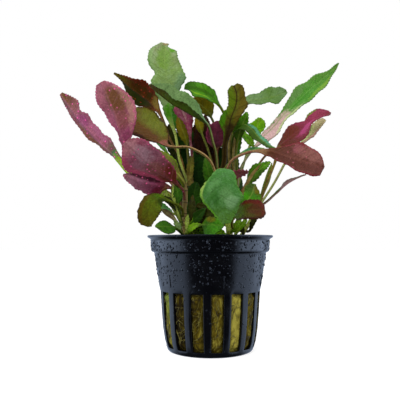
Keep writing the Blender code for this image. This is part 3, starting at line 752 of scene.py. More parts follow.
TAN = replace(
    OLIVE, name="tan_petiole", tones="#8a7a54 #94805c #8c7c50 #74702f #5c6020", mottle="#4c3818",
    mottle_amount=0.6, midrib="#988c5c", margin="#4c3018",
)
PALE_LIME = replace(
    PALE, name="pale_lime_petiole", tones="#8aa040 #94ac4c #9cb458 #9cb458 #8aa848", mottle="#7a9438",
)
PINK_TAN = replace(
    PALE, name="pink_tan_petiole", tones="#84705c #8c7464 #94806f #8c7868 #7c6858", mottle="#5c4840",
)
LIME_SHOOT = replace(LIME, name="lime_shoot", tones="#84a03c #7ca02c #74a020 #6c9c18 #7aa830")
LIME_TAN = replace(
    OLIVE, name="lime_tan_petiole", tones="#84804a #8c9048 #98a458 #98a858 #86a048", midrib="#b0bc70",
)
BROWN_STALK = replace(
    BRONZE, name="brown_petiole", tones="#7c6c3c #8a744c #947c58 #98845c #86784a", mottle="#5c4a2c",
)

# Outlines of even leaves from the neck to the tip, as shares of the half-width
SPOON = (0.12, 0.42, 0.92, 1, 0.66, 0.08)
OVAL = (0.12, 0.72, 1, 0.9, 0.58, 0.08)
LANCE = (0.12, 0.62, 1, 0.92, 0.55, 0.06)
STRAP = (0.22, 0.6, 0.86, 1, 0.8, 0.1)
BROAD = (0.2, 0.7, 0.95, 1, 0.8, 0.2)


def cut(width: float, shares: tuple[float, ...]) -> tuple[float, ...]:
    """Gives the half-widths of an even leaf from its width and its outline."""
    return tuple(width / 2 * share for share in shares)


class Skin(Enum):
    """What covers a stem."""

    WOODY = "woody"
    GREEN = "green"


@dataclass(frozen=True)
class Stem:
    """A stem: its route from the wool upwards, its radius and its skin."""

    name: str
    route: tuple[Point, ...]
    radius: float
    skin: Skin

    foot_height: float = 39.3

    def axis(self) -> list[Vector]:
        """Gives the stem's smooth middle line, from its foot in the wool to its top."""
        x, y, _ = self.route[0]
        route = [Vector(point) for point in self.route]
        last = len(route) - 1
        steps = 30
        return [
            Vector((x, y, self.foot_height)),
            *(smooth_point(route, last * number / steps) for number in range(steps + 1)),
        ]

    def at_height(self, height: float) -> Vector:
        """Finds the point of the middle line at a height."""
        points = self.axis()
        for low, high in zip(points, points[1:]):
            if low.z <= height <= high.z:
                return low.lerp(high, (height - low.z) / (high.z - low.z))
        return points[-1]


STEMS = (
    Stem("left", ((-11.5, -8, 50), (-11.3, -8, 61), (-10.9, -8.5, 67), (-11.4, -9.2, 73)), 1.15, Skin.WOODY),
    Stem("mid_left", ((-5, 5, 50), (-6, 5, 62), (-8, 4.5, 72), (-9.3, 4, 81)), 1, Skin.WOODY),
    Stem("middle", ((4, -2.5, 50), (4, -2.5, 60), (3.5, -3, 70), (4, -3, 80)), 1.1, Skin.WOODY),
    Stem("front", ((8, -9, 50), (8, -9, 56), (7.6, -9.3, 61), (7.5, -9.5, 65)), 1.4, Skin.GREEN),
    Stem("right", ((14, -2, 50), (16.5, -2, 54), (18.2, -1.7, 56.7), (19.5, -1.5, 59)), 1, Skin.GREEN),
    Stem("back", ((-1, 13, 50), (-1, 14, 62), (0, 15, 72), (0, 16, 80)), 1, Skin.WOODY),
    Stem("back_right", ((10, 11, 50), (10.5, 12, 60), (11, 12.5, 70), (12, 13, 82)), 1, Skin.GREEN),
)


@dataclass(frozen=True)
class Bite:
    """A notch in a margin: its side (1 left, -1 right), place, half-length and depth in millimetres."""

    side: int
    along: float
    reach: float
    depth: float


@dataclass(frozen=True)
class Leaf:
    """A leaf: where it grows, its route, and how its blade is cut, turned, folded and coloured.

    The route starts clear of the stem, neck is the route point where the blade begins (1 is the
    first), left and right are the half-widths in mm at even steps of the blade, seen on the upper side
    with the tip away, and face is what the upper side looks towards.
    """

    name: str
    stem: str
    height: float
    route: tuple[Point, ...]
    neck: int
    left: tuple[float, ...]
    face: Point
    fold: float
    upper: LeafFinish
    under: LeafFinish = PALE_UNDER
    right: tuple[float, ...] | None = None
    bites: tuple[Bite, ...] = ()
    wave: float = 0.35
    quilt: float = 0.12
    tooth: float = 0.28
    stalk_half: float = 0.58
    node: bool = True

    SOLID_STALK = 0.75
    STEM_GAP = 0.3
    STALK_STEPS = 20
    FINE_STEPS = 200
    COLUMNS = 16
    FACE_AT = 0.43
    TIP_CROWDING = 0.6
    PATTERN_STEP = 60
    THICKEST = 1.5
    BLADE_THICK = 0.34
    THINNEST = 0.12
    RIB = 1.1
    RIB_REACH = 0.65
    GROOVE = 0.22
    GROOVE_REACH = 0.6
    TOOTH_PITCH = 1.7
    TOOTH_STEPS = 3

    def spine(self) -> list[Vector]:
        """Gives the route with its base, which stands a gap off the stem's side."""
        stem = next(stem for stem in STEMS if stem.name == self.stem)
        axis = stem.at_height(self.height)
        route = [Vector(point) for point in self.route]
        away = route[0] - axis
        away.z = 0
        base = axis + away.normalized() * (stem.radius + self.SOLID_STALK * math.sqrt(2) + self.STEM_GAP)
        return [base, *route]

    def build(self, seed: int) -> None:
        """Builds the leaf as a grid laid along its route, thickened by Solidify.

        Args:
            seed: The leaf's own number, which seeds its teeth, waves and mottling.
        """
        draw = random.Random(seed)
        points, shares, teeth = self._stations()
        steps = len(points) - 1
        middle = self.STALK_STEPS + min(
            range(steps - self.STALK_STEPS),
            key=lambda step: abs(shares[self.STALK_STEPS + step] - self.FACE_AT),
        )
        frames = carried_frames(points, Vector(self.face), middle)
        travel = running_lengths(points)
        depths = {side: [draw.uniform(0.35, 1.0) for _ in range(teeth + 1)] for side in (-1, 1)}
        phases = {side: draw.uniform(0, math.tau) for side in (-1, 1)}
        pace = draw.uniform(8.5, 12.5)

        bm = bmesh.new()
        bmesh.ops.create_grid(bm, x_segments=steps, y_segments=self.COLUMNS, size=0.5)
        weights = bm.verts.layers.deform.new()
        share_uv = bm.loops.layers.uv.new("share")
        size_uv = bm.loops.layers.uv.new("size")
        places = {}
        for vert in bm.verts:
            number = round((vert.co.x + 0.5) * steps)
            across = vert.co.y * 2
            share = shares[number]
            up, left = frames[number]
            side = 1 if across >= 0 else -1
            run = travel[number] - travel[self.STALK_STEPS]
            half = self._half(share, side, number)
            if share > 0 and abs(across) > 0.99:
                half += self._tooth(number - self.STALK_STEPS, share, depths[side])
            flat, rise = self._section(across, half, share, run, pace, phases[side])
            vert.co = (points[number] + left * flat + up * rise) * MM
            vert[weights][0] = self._thickness(across, half, share) / self.THICKEST
            blade = STALK_SHARE + (1 - STALK_SHARE) * share
            along = blade if share > 0 else STALK_SHARE * number / self.STALK_STEPS
            places[vert] = ((across + 1) / 2, along, across * half, run + self.PATTERN_STEP * seed)
        for face in bm.faces:
            for loop in face.loops:
                first, second, third, fourth = places[loop.vert]
                loop[share_uv].uv = (first, second)
                loop[size_uv].uv = (third, fourth)
        obj = put_in_scene(self.name + "_leaf", bm, [self.upper.build(), self.under.build()])
        obj.vertex_groups.new(name="thickness")
        solid = obj.modifiers.new("thickness", "SOLIDIFY")
        solid.thickness = self.THICKEST * MM
        solid.offset = 0
        solid.vertex_group = "thickness"
        solid.material_offset = 1
        solid.material_offset_rim = 0
        node = "leaf_" + self.name
        report(obj, SLOTS.get(node, "leaf_green"), node if self.node else None)

    def _stations(self) -> tuple[list[Vector], list[float], int]:
        """Lists each cross-section's point and its share of the blade's length, 0 on the stalk.

        Returns:
            The points, their shares, and how many teeth a margin has.
        """
        spine = self.spine()
        last = len(spine) - 1
        points = [
            smooth_point(spine, self.neck * number / self.STALK_STEPS) for number in range(self.STALK_STEPS)
        ]
        shares = [0.0] * self.STALK_STEPS
        steps = self.FINE_STEPS
        fine = [
            smooth_point(spine, self.neck + (last - self.neck) * step / steps) for step in range(steps + 1)
        ]
        runs = running_lengths(fine)
        teeth = max(4, round(runs[-1] / self.TOOTH_PITCH))
        count = teeth * self.TOOTH_STEPS
        for number in range(count + 1):
            # The sections stand closer towards the tip, so that it comes out round
            even = number / count
            share = even + (math.sin(even * math.pi / 2) - even) * self.TIP_CROWDING
            high = next(place for place, run in enumerate(runs) if run >= share * runs[-1] - 1e-9)
            low = max(0, high - 1)
            gap = runs[high] - runs[low]
            between = (share * runs[-1] - runs[low]) / gap if gap else 0.0
            points.append(fine[low].lerp(fine[high], between))
            shares.append(share)
        return points, shares, teeth

    def _half(self, share: float, side: int, number: int) -> float:
        """Finds the half-width of one side at a section, which on the stalk widens only near the neck.

        Args:
            share: The section's share of the blade, 0 on the stalk.
            side: 1 for the left side, -1 for the right one.
            number: The section's number from the base.
        """
        widths = self.right if self.right and side < 0 else self.left
        if number < self.STALK_STEPS:
            flare = max(0.0, (number / self.STALK_STEPS - 0.7) / 0.3) ** 2
            return self.stalk_half + (max(widths[0], self.stalk_half) - self.stalk_half) * flare
        points = [Vector((width, 0, 0)) for width in widths]
        half = smooth_point(points, share * (len(points) - 1)).x
        for bite in self.bites:
            if bite.side == side:
                half -= bite.depth * max(0.0, 1 - ((share - bite.along) / bite.reach) ** 2)
        least = self.stalk_half * (1 - share) + self.THINNEST * share if share < 0.1 else self.THINNEST
        return max(half, least)

    def _tooth(self, step: int, share: float, depths: list[float]) -> float:
        """Finds how far the margin stands out at a step: low, half and full, then low again."""
        tooth, part = divmod(step, self.TOOTH_STEPS)
        calm = min(1.0, share / 0.15, (1 - share) / 0.06)
        return self.tooth * depths[min(tooth, len(depths) - 1)] * (part - 0.6) * calm

    def _section(
        self, across: float, half: float, share: float, run: float, pace: float, phase: float
    ) -> tuple[float, float]:
        """Shapes the cross-section.

        Args:
            across: From -1 at the right margin to 1 at the left one.
            half: The half-width there.
            share: The share of the blade, which is 0 on the stalk.
            run: How far along the blade, in millimetres.
            pace: The length of a ripple of the margin.
            phase: Where the ripple starts.

        Returns:
            How far the point lies to the left of the spine, and how far above it.
        """
        spread = min(1.0, 3 * share)
        lift = math.radians(self.fold) * spread
        away = abs(across)
        flat = across * half * math.cos(lift)
        rise = away * half * math.sin(lift)
        rise += self.wave * spread * away**1.6 * math.sin(math.tau * run / pace + phase)
        beat = abs(math.sin(math.pi * (run - VEIN_LEAN * away * half) / VEIN_PITCH))
        rise += self.quilt * spread * 4 * away * (1 - away) * beat
        rise -= self.GROOVE * spread * math.exp(-((away * half / self.GROOVE_REACH) ** 2))
        return flat, rise

    def _thickness(self, across: float, half: float, share: float) -> float:
        """Finds the thickness: round on the stalk, then a rib that thins out in a thin blade."""
        round_part = max(self.THINNEST, 2 * self.stalk_half * math.sqrt(max(0.0, 1 - across * across)))
        if share <= 0:
            return round_part
        rib = self.RIB * (1 - share) ** 0.8 * math.exp(-((across * half / self.RIB_REACH) ** 2))
        merge = max(0.0, 1 - share / 0.08)
        blade = self.BLADE_THICK * (1 - 0.45 * abs(across)) + rib
        return min(self.THICKEST, blade * (1 - merge) + round_part * merge)


LEFT_LEAVES = (
    Leaf("far_left", "left", 62, ((-18, -8, 67), (-26.5, -8, 71.5), (-35, -6, 77), (-41, -5, 84),
        (-46.5, -5, 89), (-51, -4, 93.5), (-60, -4, 103.5), (-67.5, -4, 113.7)), 4,
        (1.8, 3.4, 4.8, 4, 4.4, 3.7, 5, 3.3, 4.9, 3.6, 1.2), (0.4, 0.8, 0.45), 12, GREEN, FAR_LEFT,
        right=(1.4, 1.2, 2.2, 2.6, 4.2, 4.5, 4.2, 3.4, 2.8, 2.5, 0.6), stalk_half=1.3),
    Leaf("left_purple", "left", 68, ((-19.5, -9.5, 75), (-26, -11, 77), (-32.5, -13.5, 82),
        (-35.6, -15, 87.5), (-38, -17.5, 93.5), (-39.8, -19, 100), (-42.3, -20.5, 106),
        (-45.7, -22, 113.3)), 4, (1.5, 3.5, 5.8, 7.8, 9.1, 9.6, 9.5, 8.5, 6.9, 4.7, 1.5), (0.35, 0.85, 0.4),
        8, GREEN, LEFT_PURPLE, right=(1.5, 2.3, 1.8, 2.3, 4.2, 5.2, 5.5, 6.2, 6.5, 5.6, 3.2)),
    Leaf("left_olive", "middle", 68, ((2.2, -9.5, 76.5), (-1.2, -12.5, 83), (-8.8, -15, 87),
        (-15.2, -15, 87.2), (-19.2, -13, 88.6), (-24, -8, 94), (-29.2, -4, 99.2), (-37, 1, 107)), 5,
        (1, 2.6, 5.8, 8.4, 10.4, 12, 13, 12.8, 11.6, 9.2, 5), (0.2, -0.8, 0.55), 10, LEFT_OLIVE,
        right=(1.2, 3.1, 5, 6.3, 7.3, 8, 8.3, 8.7, 8.5, 8.3, 4.5)),
    Leaf("left_red", "mid_left", 77, ((-13.5, 4, 86), (-18.4, 4, 94.5), (-21.4, 6, 103),
        (-24.4, 7, 109), (-28.1, 7, 113.7), (-33, 7, 117.3), (-38.2, 6, 121), (-45, 5, 126.6)), 4,
        (2, 3.8, 6.8, 6.8, 7.4, 7.6, 6.2, 4.5, 3, 1.4, 0.5), (0.3, 0.6, 0.7), 2, OLIVE, LEFT_RED,
        right=(1.2, 3.2, 5, 6, 7.6, 7.2, 6.2, 3.8, 1.5, 0.5, 0.3)),
    Leaf("front_mauve", "left", 65, ((-11.4, -12.5, 68.2), (-12.9, -17, 70), (-15.4, -22, 72),
        (-19.4, -26.5, 74), (-23.8, -30, 76.8), (-27.6, -33, 80), (-31, -35, 83), (-33.2, -36, 85)), 3,
        (1.4, 4, 5.4, 6.2, 6.8, 7, 7.2, 7, 6.8, 5.2, 2.2), (0.2, 0.8, 0.55), 6, GREEN, FRONT_MAUVE,
        right=(1.4, 3.2, 4, 4.4, 5.6, 7.6, 10, 9.5, 8.2, 5.4, 2.4)),
    Leaf("left_strap", "left", 71.5, ((-11.8, -13.5, 72.4), (-13.6, -16, 74.7), (-15.7, -18, 77),
        (-17.4, -20, 79.1), (-20.3, -22, 81.9), (-22.7, -23.5, 84.7)), 2,
        (2, 3, 3.5, 3.8, 3.8, 3.6, 3.4, 3, 2.6, 1.8, 0.6), (0.4, -0.85, 0.4), 15, LEFT_STRAP,
        right=(1.8, 2.6, 3.2, 3.4, 3.4, 3.4, 3.2, 3, 2.4, 1.5, 0.5), stalk_half=1.3),
    Leaf("low_purple", "left", 61, ((-13.6, -12, 65.5), (-16, -13, 69.3), (-19.5, -15.5, 70.7),
        (-24.2, -17, 71), (-29.8, -19, 72.3), (-36.3, -20, 74.7)), 3,
        (1.4, 2.4, 3.2, 3.4, 3.4, 3.3, 3.1, 2.8, 2.4, 1.6, 0.4), (0.1, 0.9, 0.4), 6, GREEN, LOW_PURPLE,
        right=(3, 6.3, 5.9, 5, 4.9, 4.1, 4.4, 3.4, 2.5, 1.8, 0.4)),
    Leaf("low_olive", "left", 58, ((-12.5, -13, 61.5), (-16.5, -18.5, 63.6), (-20.6, -21.5, 64.6),
        (-23.9, -22.3, 62), (-25.1, -22, 58.3), (-24.6, -21, 53.2)), 3,
        (2, 3, 4, 5, 5.2, 4.7, 4.5, 3.7, 2.8, 1.3, 0.3), (-0.2, -0.95, 0.1), 8, LOW_OLIVE,
        right=(2.5, 3.5, 4.4, 4.8, 4.8, 4.8, 4.8, 4.8, 4.7, 3.9, 1.4)),
    Leaf("rim", "left", 49.4, ((-12.2, -14, 50.6), (-15, -20, 52.8), (-18.6, -24, 53), (-22, -27, 53)),
        2, (0.8, 2.2, 3, 3.4, 3.6, 3.7, 3.6, 3.4, 3, 2.3, 1.1), (-0.1, -0.9, 0.45), 5, MID_GREEN,
        right=(0.8, 1.8, 2.5, 2.8, 3, 3, 2.8, 2.6, 2.1, 1.5, 0.6), tooth=0.08),
    Leaf("low_lime", "left", 53.5, ((-8.4, -13, 56.5), (-8, -13.8, 60), (-7.8, -13.5, 63.5),
        (-7.6, -12.8, 67)), 1, cut(3.4, LANCE), (0.1, -0.9, 0.3), 10, DEEP_SHADE_OLIVE),
    Leaf("bottom_green", "left", 51.2, ((-7.5, -12.5, 52.4), (-3.3, -17, 54), (0.4, -20, 54),
        (5.2, -22, 53.6)), 2, (0.8, 2.4, 3, 3.2, 3.2, 3.2, 3, 2.6, 2, 1.4, 0.5), (0, -1, 0.2), 8,
        BOTTOM_GREEN, right=(0.8, 2.6, 4.4, 5.2, 5.6, 5.6, 5.2, 4.4, 3.4, 2, 0.5)),
)

TOP_LEAVES = (
    Leaf("top_sage", "mid_left", 73, ((-12, -0.5, 79), (-14, -2, 85), (-15.3, -3, 94),
        (-17.2, -3, 101.5), (-18.2, -3, 108), (-19.2, -3, 116), (-20, -3, 123), (-20.9, -2, 130),
        (-20.5, 0, 139)), 4, (1.7, 3, 3.3, 5, 6.5, 7.2, 5, 7.3, 7.5, 6.3, 2.2), (0.1, -0.95, 0.3), 8,
        TOP_SAGE, right=(0.6, 0.7, 1.5, 4.5, 6.2, 8.8, 7.9, 7.2, 6.1, 5.2, 1.4),
        bites=(Bite(-1, 0.95, 0.04, 2),)),
    Leaf("top_folded", "middle", 75, ((2.6, -8, 84.7), (1.1, -11, 90.3), (-1.1, -14, 97),
        (-5.4, -15.5, 99.9), (-10.9, -16, 103.1), (-16.4, -16, 106.2), (-21.7, -15, 110.5),
        (-26.5, -14, 114.6)), 3, (1, 2.4, 3, 3.1, 2.9, 2.7, 2.6, 2.6, 2.6, 2, 0.4),
        (0.2, -0.35, 0.92), 60, FOLDED_INSIDE, FOLDED_OUTSIDE,
        right=(1.2, 3.4, 5, 6.4, 7, 7, 6.8, 6.4, 5.6, 4.2, 1)),
    Leaf("top_bright", "back", 76, ((4.5, 11, 86), (7.5, 8.5, 96), (8.2, 7, 102), (6.8, 6, 107.1),
        (4.5, 6, 111.2), (0.7, 6, 114.6), (-3.6, 5, 116.9), (-7.8, 5, 118.3), (-12, 5, 119)), 5,
        (0.8, 1.5, 3, 4, 5, 6, 7, 7, 4, 1.5, 0.5), (0.15, -0.75, 0.65), 12, TOP_BRIGHT,
        right=(1, 2, 3.8, 6.4, 6.2, 6, 6.4, 6.5, 6.3, 5.2, 2.6)),
    Leaf("top_yellow", "back", 73, ((4.5, 16.5, 80), (5, 14.5, 90), (4.2, 13, 98.5), (0.8, 12, 107.2),
        (-3, 12, 112.2), (-8.8, 11, 115.8)), 4, (0.6, 1.5, 2.5, 3, 3, 3, 3, 2.5, 2, 1.2, 0.3),
        (0, -0.9, 0.4), 8, TOP_YELLOW, right=(0.6, 2, 3.3, 4.8, 5.2, 5.2, 5, 4.5, 3.8, 2.5, 0.5)),
    Leaf("centre_tall", "middle", 79, ((6.4, -5.8, 83.5), (6.5, -8, 89.5), (7.8, -10, 94.8),
        (9, -11, 100.5), (11, -11, 106), (11.6, -11, 111), (10.4, -10, 115.8)), 3,
        (2.4, 4, 4.8, 4.4, 3.4, 3.2, 3.6, 3.9, 3.9, 3.5, 1.2), (-0.1, -0.95, 0.1), 18, CENTRE_TALL,
        right=(1.4, 2.2, 3, 3.6, 4.3, 5, 5.6, 4, 3.8, 3.5, 1.8), stalk_half=1.2),
    Leaf("hanging_pink", "mid_left", 79.6, ((-8.2, -1.5, 85), (-9, -6, 94.4), (-10, -8, 100),
        (-11.7, -9, 105), (-12.5, -9, 108.5)), 2, (0.7, 1, 1.4, 2, 2.6, 3, 3.4, 3.8, 3.9, 3.2, 0.8),
        (0.2, 0.9, 0.1), 12, GREEN, HANGING_PINK,
        right=(0.7, 0.9, 1.1, 1.4, 1.8, 2.4, 3.2, 4, 4.6, 4.6, 2.4)),
    Leaf("dark_purple", "middle", 77, ((3.4, 1.5, 83.6), (3, 3, 90), (3, 4, 96.7), (4, 4, 103.3)), 2,
        cut(9.5, BROAD), (0, 0.95, 0.1), 10, GREEN, DARK_PURPLE),
    Leaf("centre_maroon", "back", 74, ((-2.5, 10, 79), (-3.3, 7.2, 85), (-3.2, 6, 92), (-2.5, 6.2, 99),
        (-2, 7, 107)), 2, cut(9, OVAL), (0, -0.9, 0.3), 10, DEEP_SHADE_BROWN),
    Leaf("centre_dark", "mid_left", 79, ((-9.5, 8.5, 85), (-10.5, 8, 91), (-11.5, 7.5, 97),
        (-12, 7, 104)), 2, cut(8.5, OVAL), (0, -0.9, 0.3), 10, DARK),
)

RIGHT_LEAVES = (
    Leaf("right_sage", "back_right", 81, ((12.5, 16.5, 92), (14.5, 17.5, 103), (16, 18.5, 111),
        (19, 19, 116), (24, 20, 118), (29.2, 21, 119.2), (34.3, 21, 120.3), (39.1, 20, 122.2)), 4,
        (3.6, 4.4, 4.6, 4.4, 4.8, 5.9, 6.6, 7.2, 6.2, 5.2, 1.2), (-0.2, -0.8, 0.55), 8, RIGHT_SAGE,
        right=(1.2, 2.4, 3.8, 4.6, 4.8, 4.8, 6, 6.7, 5, 3.6, 1)),
    Leaf("far_right", "back_right", 70, ((14.5, 9.5, 81), (19.3, 10, 89.3), (25.3, 12, 96.4),
        (30.5, 14, 101.3), (36.5, 15, 108.5), (43.3, 16, 115.8), (50, 16, 122), (57.3, 16, 128.3),
        (64, 15, 135.1)), 3, (2, 3.6, 2.8, 3.2, 3.8, 6, 7.3, 6, 5.1, 1.8, 0.3), (-0.5, -0.7, 0.5), 10,
        FAR_RIGHT, right=(4.5, 5.5, 4, 4, 5.4, 7.1, 7.5, 7.5, 5.5, 2.9, 0.3)),
    Leaf("right_magenta", "right", 58.9, ((22.3, 0.3, 63.5), (25.5, -1, 73), (29, -1, 81.8),
        (31.2, -2, 89), (35, -3, 92.6), (39.5, -4, 96.4), (45.4, -4, 101.3), (54.3, -3, 105.7)), 4,
        (2, 3.5, 5.5, 6, 6.2, 5.5, 2.4, 4.6, 6.1, 5.8, 0.6), (-0.3, -0.6, 0.75), 10, RIGHT_MAGENTA,
        PALE, right=(3, 5.5, 7.5, 8.5, 8.6, 6.4, 3.2, 1.8, 2.9, 3.9, 1)),
    Leaf("right_pale", "right", 56, ((20, 4, 60), (24.2, 6.5, 65.5), (30.5, 8, 75), (36.3, 8, 85.3),
        (41.9, 7.5, 92.2), (47, 7, 96), (51.3, 7, 100.4), (54.8, 7, 104.7)), 5,
        (0.8, 0.8, 1.2, 2, 1.9, 2.3, 3.3, 3.6, 3.3, 3.1, 1.5), (-0.4, -0.8, 0.4), 20, RIGHT_PALE,
        right=(0.7, 0.8, 1, 1.1, 1.4, 1.4, 1, 1.2, 1.1, 0.9, 0.3)),
    Leaf("right_drooping", "middle", 64, ((6, -9, 74), (8.8, -13, 81.4), (14, -17, 84),
        (18.7, -20, 84.6), (23, -22, 84.3), (28.4, -24, 82.3), (33.5, -27, 80.1), (38.7, -29, 78.2),
        (44.1, -31, 75.9)), 5, (1.2, 2.2, 3.8, 5.8, 7.4, 7.8, 7.3, 6.8, 6, 4, 0.5), (0.1, -0.95, 0.3),
        8, RIGHT_DROOPING, right=(2.6, 2.5, 3.2, 4, 4.1, 4.4, 5.6, 6.1, 6.2, 6, 4.2), tooth=0.12),
    Leaf("arched_green", "back_right", 76, ((11, 6, 84), (10, -1, 91), (11.2, -4, 96.7),
        (14.7, -6, 99), (18, -8, 96.7), (21.3, -10, 92.2), (24.9, -12, 88.7), (28.2, -13, 87.2)), 3,
        (0.8, 1.3, 1.8, 2, 2, 2, 2, 1.8, 1.3, 0.8, 0.3), (0.3, -0.9, 0.4), 10, ARCHED_GREEN,
        ARCHED_GREEN, right=(1.5, 3.2, 4.4, 4.6, 4, 3.4, 3, 2.6, 2.2, 1.5, 0.4)),
    Leaf("lime", "back_right", 73, ((15.5, 13, 81), (18.5, 14.5, 90.5), (21.3, 16, 97.6),
        (23.4, 17, 102.8), (24.5, 17, 108.3)), 3, (0.8, 1.2, 2, 3, 4, 4.5, 4.2, 3.2, 2.2, 1.2, 0.3),
        (0.1, -0.9, 0.3), 10, LIME_LEAF, right=(0.8, 1.4, 2, 2.5, 3, 3.4, 3.9, 3.9, 3.6, 2.8, 1.2)),
    Leaf("serrated", "front", 60, ((13.9, -7.5, 66.7), (16.1, -7.5, 72), (19.1, -8, 76.3),
        (22.7, -8.5, 79.3), (26.3, -8, 82.2)), 2, (0.8, 1.4, 2, 2.6, 3.2, 3.6, 3.8, 3.2, 2.4, 1.4, 0.4),
        (-0.4, -0.8, 0.4), 10, ARCH_BASE, right=(0.8, 1.6, 2.6, 3.2, 3.4, 3.2, 2.8, 2.4, 1.8, 1, 0.3),
        tooth=0.5),
    Leaf("thin_right", "back_right", 57, ((18, 10, 60.5), (25.9, 8.5, 65.3), (30.8, 9, 69.6),
        (35.1, 9, 73.8), (39.8, 9, 76.7), (45.3, 8, 78.9)), 3, cut(3.4, LANCE), (-0.3, 0.2, 0.9), 15, GREEN,
        THIN_RIGHT),
    Leaf("small_dark", "middle", 71, ((8.5, -3, 75), (11.6, -3, 76.9), (14.8, -3, 77.8),
        (17.9, -3, 78.7)), 1, cut(3.4, LANCE), (0, -0.95, 0.3), 10, SMALL_DARK, tooth=0.6),
)

FRONT_LEAVES = (
    Leaf("front_green", "front", 63, ((6, -15, 69), (5.3, -24, 73.8), (5.2, -33, 74.8),
        (4.6, -36.5, 70), (3.9, -38, 63.4), (5.2, -38, 53.7)), 3,
        (3, 3.8, 4.4, 5, 6.5, 7.6, 7.8, 6.4, 5.2, 3.4, 1.6), (0, -1, 0.1), 5, FRONT_GREEN,
        right=(2.6, 3.8, 5, 6.2, 7.4, 8.5, 7.7, 5.8, 4.2, 2.8, 1.4)),
    Leaf("front_red", "front", 51, ((9, -15, 52.5), (8.5, -22, 55), (9.3, -28, 57.7), (12.6, -31, 59),
        (16.4, -32, 59.4), (20.8, -31, 59.4)), 3, (0.8, 2.4, 3.2, 3.4, 3.8, 4.2, 4.3, 4.3, 4.4, 4, 2),
        (0, -0.9, 0.4), 8, FRONT_RED, right=(1, 3, 3.6, 3.8, 4.2, 4.3, 4.4, 4.3, 4, 3.4, 1.8)),
    Leaf("front_bright", "right", 53, ((12.5, -8, 55.5), (12, -13.5, 59), (14.6, -18, 63.2),
        (17.1, -19, 66.8), (18.3, -19, 71)), 2, (0.8, 1.2, 1.6, 2, 2.5, 3, 3.4, 3.7, 4, 3.8, 2),
        (0.1, -0.8, 0.6), 8, FRONT_BRIGHT, right=(0.8, 1.5, 2.5, 3.5, 5, 6, 6.5, 4.9, 3.2, 1.5, 0.5)),
    Leaf("bottom_olive", "front", 54, ((3.5, -13, 58.2), (-0.7, -13.5, 58.6), (-4.1, -12, 57.4),
        (-6.2, -10, 55)), 1, cut(7.4, OVAL), (0, -1, 0.2), 8, DEEP_SHADE_OLIVE),
)

BACK_LEAVES = (
    Leaf("inner_green", "back", 60, ((-4.5, 9, 65.5), (-5.5, 7.5, 70), (-5.5, 7, 75), (-5, 7, 80)), 2,
        cut(7.5, OVAL), (0, -0.95, 0.1), 10, DARK),
    Leaf("back_left_high", "back", 70, ((-8, 18, 77), (-16, 23, 86), (-21, 26, 92), (-26, 29, 98),
        (-30, 30.5, 103.5), (-33, 31, 109)), 3, cut(12, SPOON), (0.5, -0.4, 0.75), 10, GREEN),
    Leaf("back_left", "back", 64, ((-9, 20, 66), (-20, 27, 72), (-27, 31, 77), (-34, 35, 83.5),
        (-39, 37, 89), (-43, 38, 94)), 3, cut(13, SPOON), (0.4, -0.4, 0.8), 10, OLIVE),
    Leaf("back_left_low", "mid_left", 56, ((-12, 11, 58.5), (-18, 17, 61), (-24, 22, 64),
        (-29, 26, 67), (-33, 29, 69)), 2, cut(9, OVAL), (0.2, -0.3, 0.9), 10, GREEN),
    Leaf("back_centre", "back", 72, ((-2, 23, 76), (-4, 28, 81), (-5.5, 32, 87), (-7, 34, 93)), 2,
        cut(13, OVAL), (0, -0.7, 0.7), 10, GREEN),
    Leaf("back_tall", "back", 79, ((2, 19, 88), (5, 21.5, 94), (8, 24, 101), (10, 25, 107),
        (11, 25, 112)), 2, cut(9.5, SPOON), (0, -0.9, 0.3), 10, OLIVE),
    Leaf("back_right", "back_right", 58, ((14, 18, 61), (18, 23, 64.5), (22.5, 28, 68),
        (26, 31, 70.5)), 1, cut(10, OVAL), (-0.3, -0.4, 0.85), 10, GREEN),
    Leaf("back_right_far", "back_right", 66, ((19, 19, 77), (29, 25, 91), (36, 28.5, 94), (44, 31, 94),
        (51, 33, 93), (57, 34, 91)), 3, cut(11, SPOON), (-0.1, -0.3, 0.95), 10, BRONZE),
    Leaf("back_high", "back", 79, ((-5, 18, 88), (-11, 19, 97), (-14.5, 20, 106), (-17, 20.5, 113),
        (-18.5, 21, 120)), 2, cut(9, SPOON), (0.1, -0.9, 0.4), 10, GREEN),
    Leaf("back_low", "back", 53, ((0, 22, 56.5), (1.5, 28, 59.5), (2.5, 34, 61), (3, 41, 60)), 2,
        cut(10, OVAL), (0, -0.2, 0.95), 10, LIME),
    Leaf("back_mid_right", "back_right", 62, ((11, 19, 68), (12.5, 25, 74), (14, 29, 79),
        (15, 31, 83.5)), 1, cut(9, OVAL), (-0.1, -0.7, 0.7), 10, DARK),
)


def small(
    name: str, stem: str, height: float, route: tuple[Point, ...], left: tuple[float, ...],
    upper: LeafFinish, under: LeafFinish = PALE_UNDER, neck: int = 1, face: Point = (0, -1, 0.2),
    fold: float = 10, **others: object,
) -> Leaf:
    """Makes a small leaf that has no solid of its own. What it is given means what it means in a leaf."""
    return Leaf(name, stem, height, route, neck, left, face, fold, upper, under, node=False, **others)


# A petiole has no teeth or quilting, and an upright leaf faces the front
SMOOTH = {"tooth": 0, "quilt": 0, "wave": 0}
UPRIGHT = {"face": (0, -1, 0.1), "fold": 8}

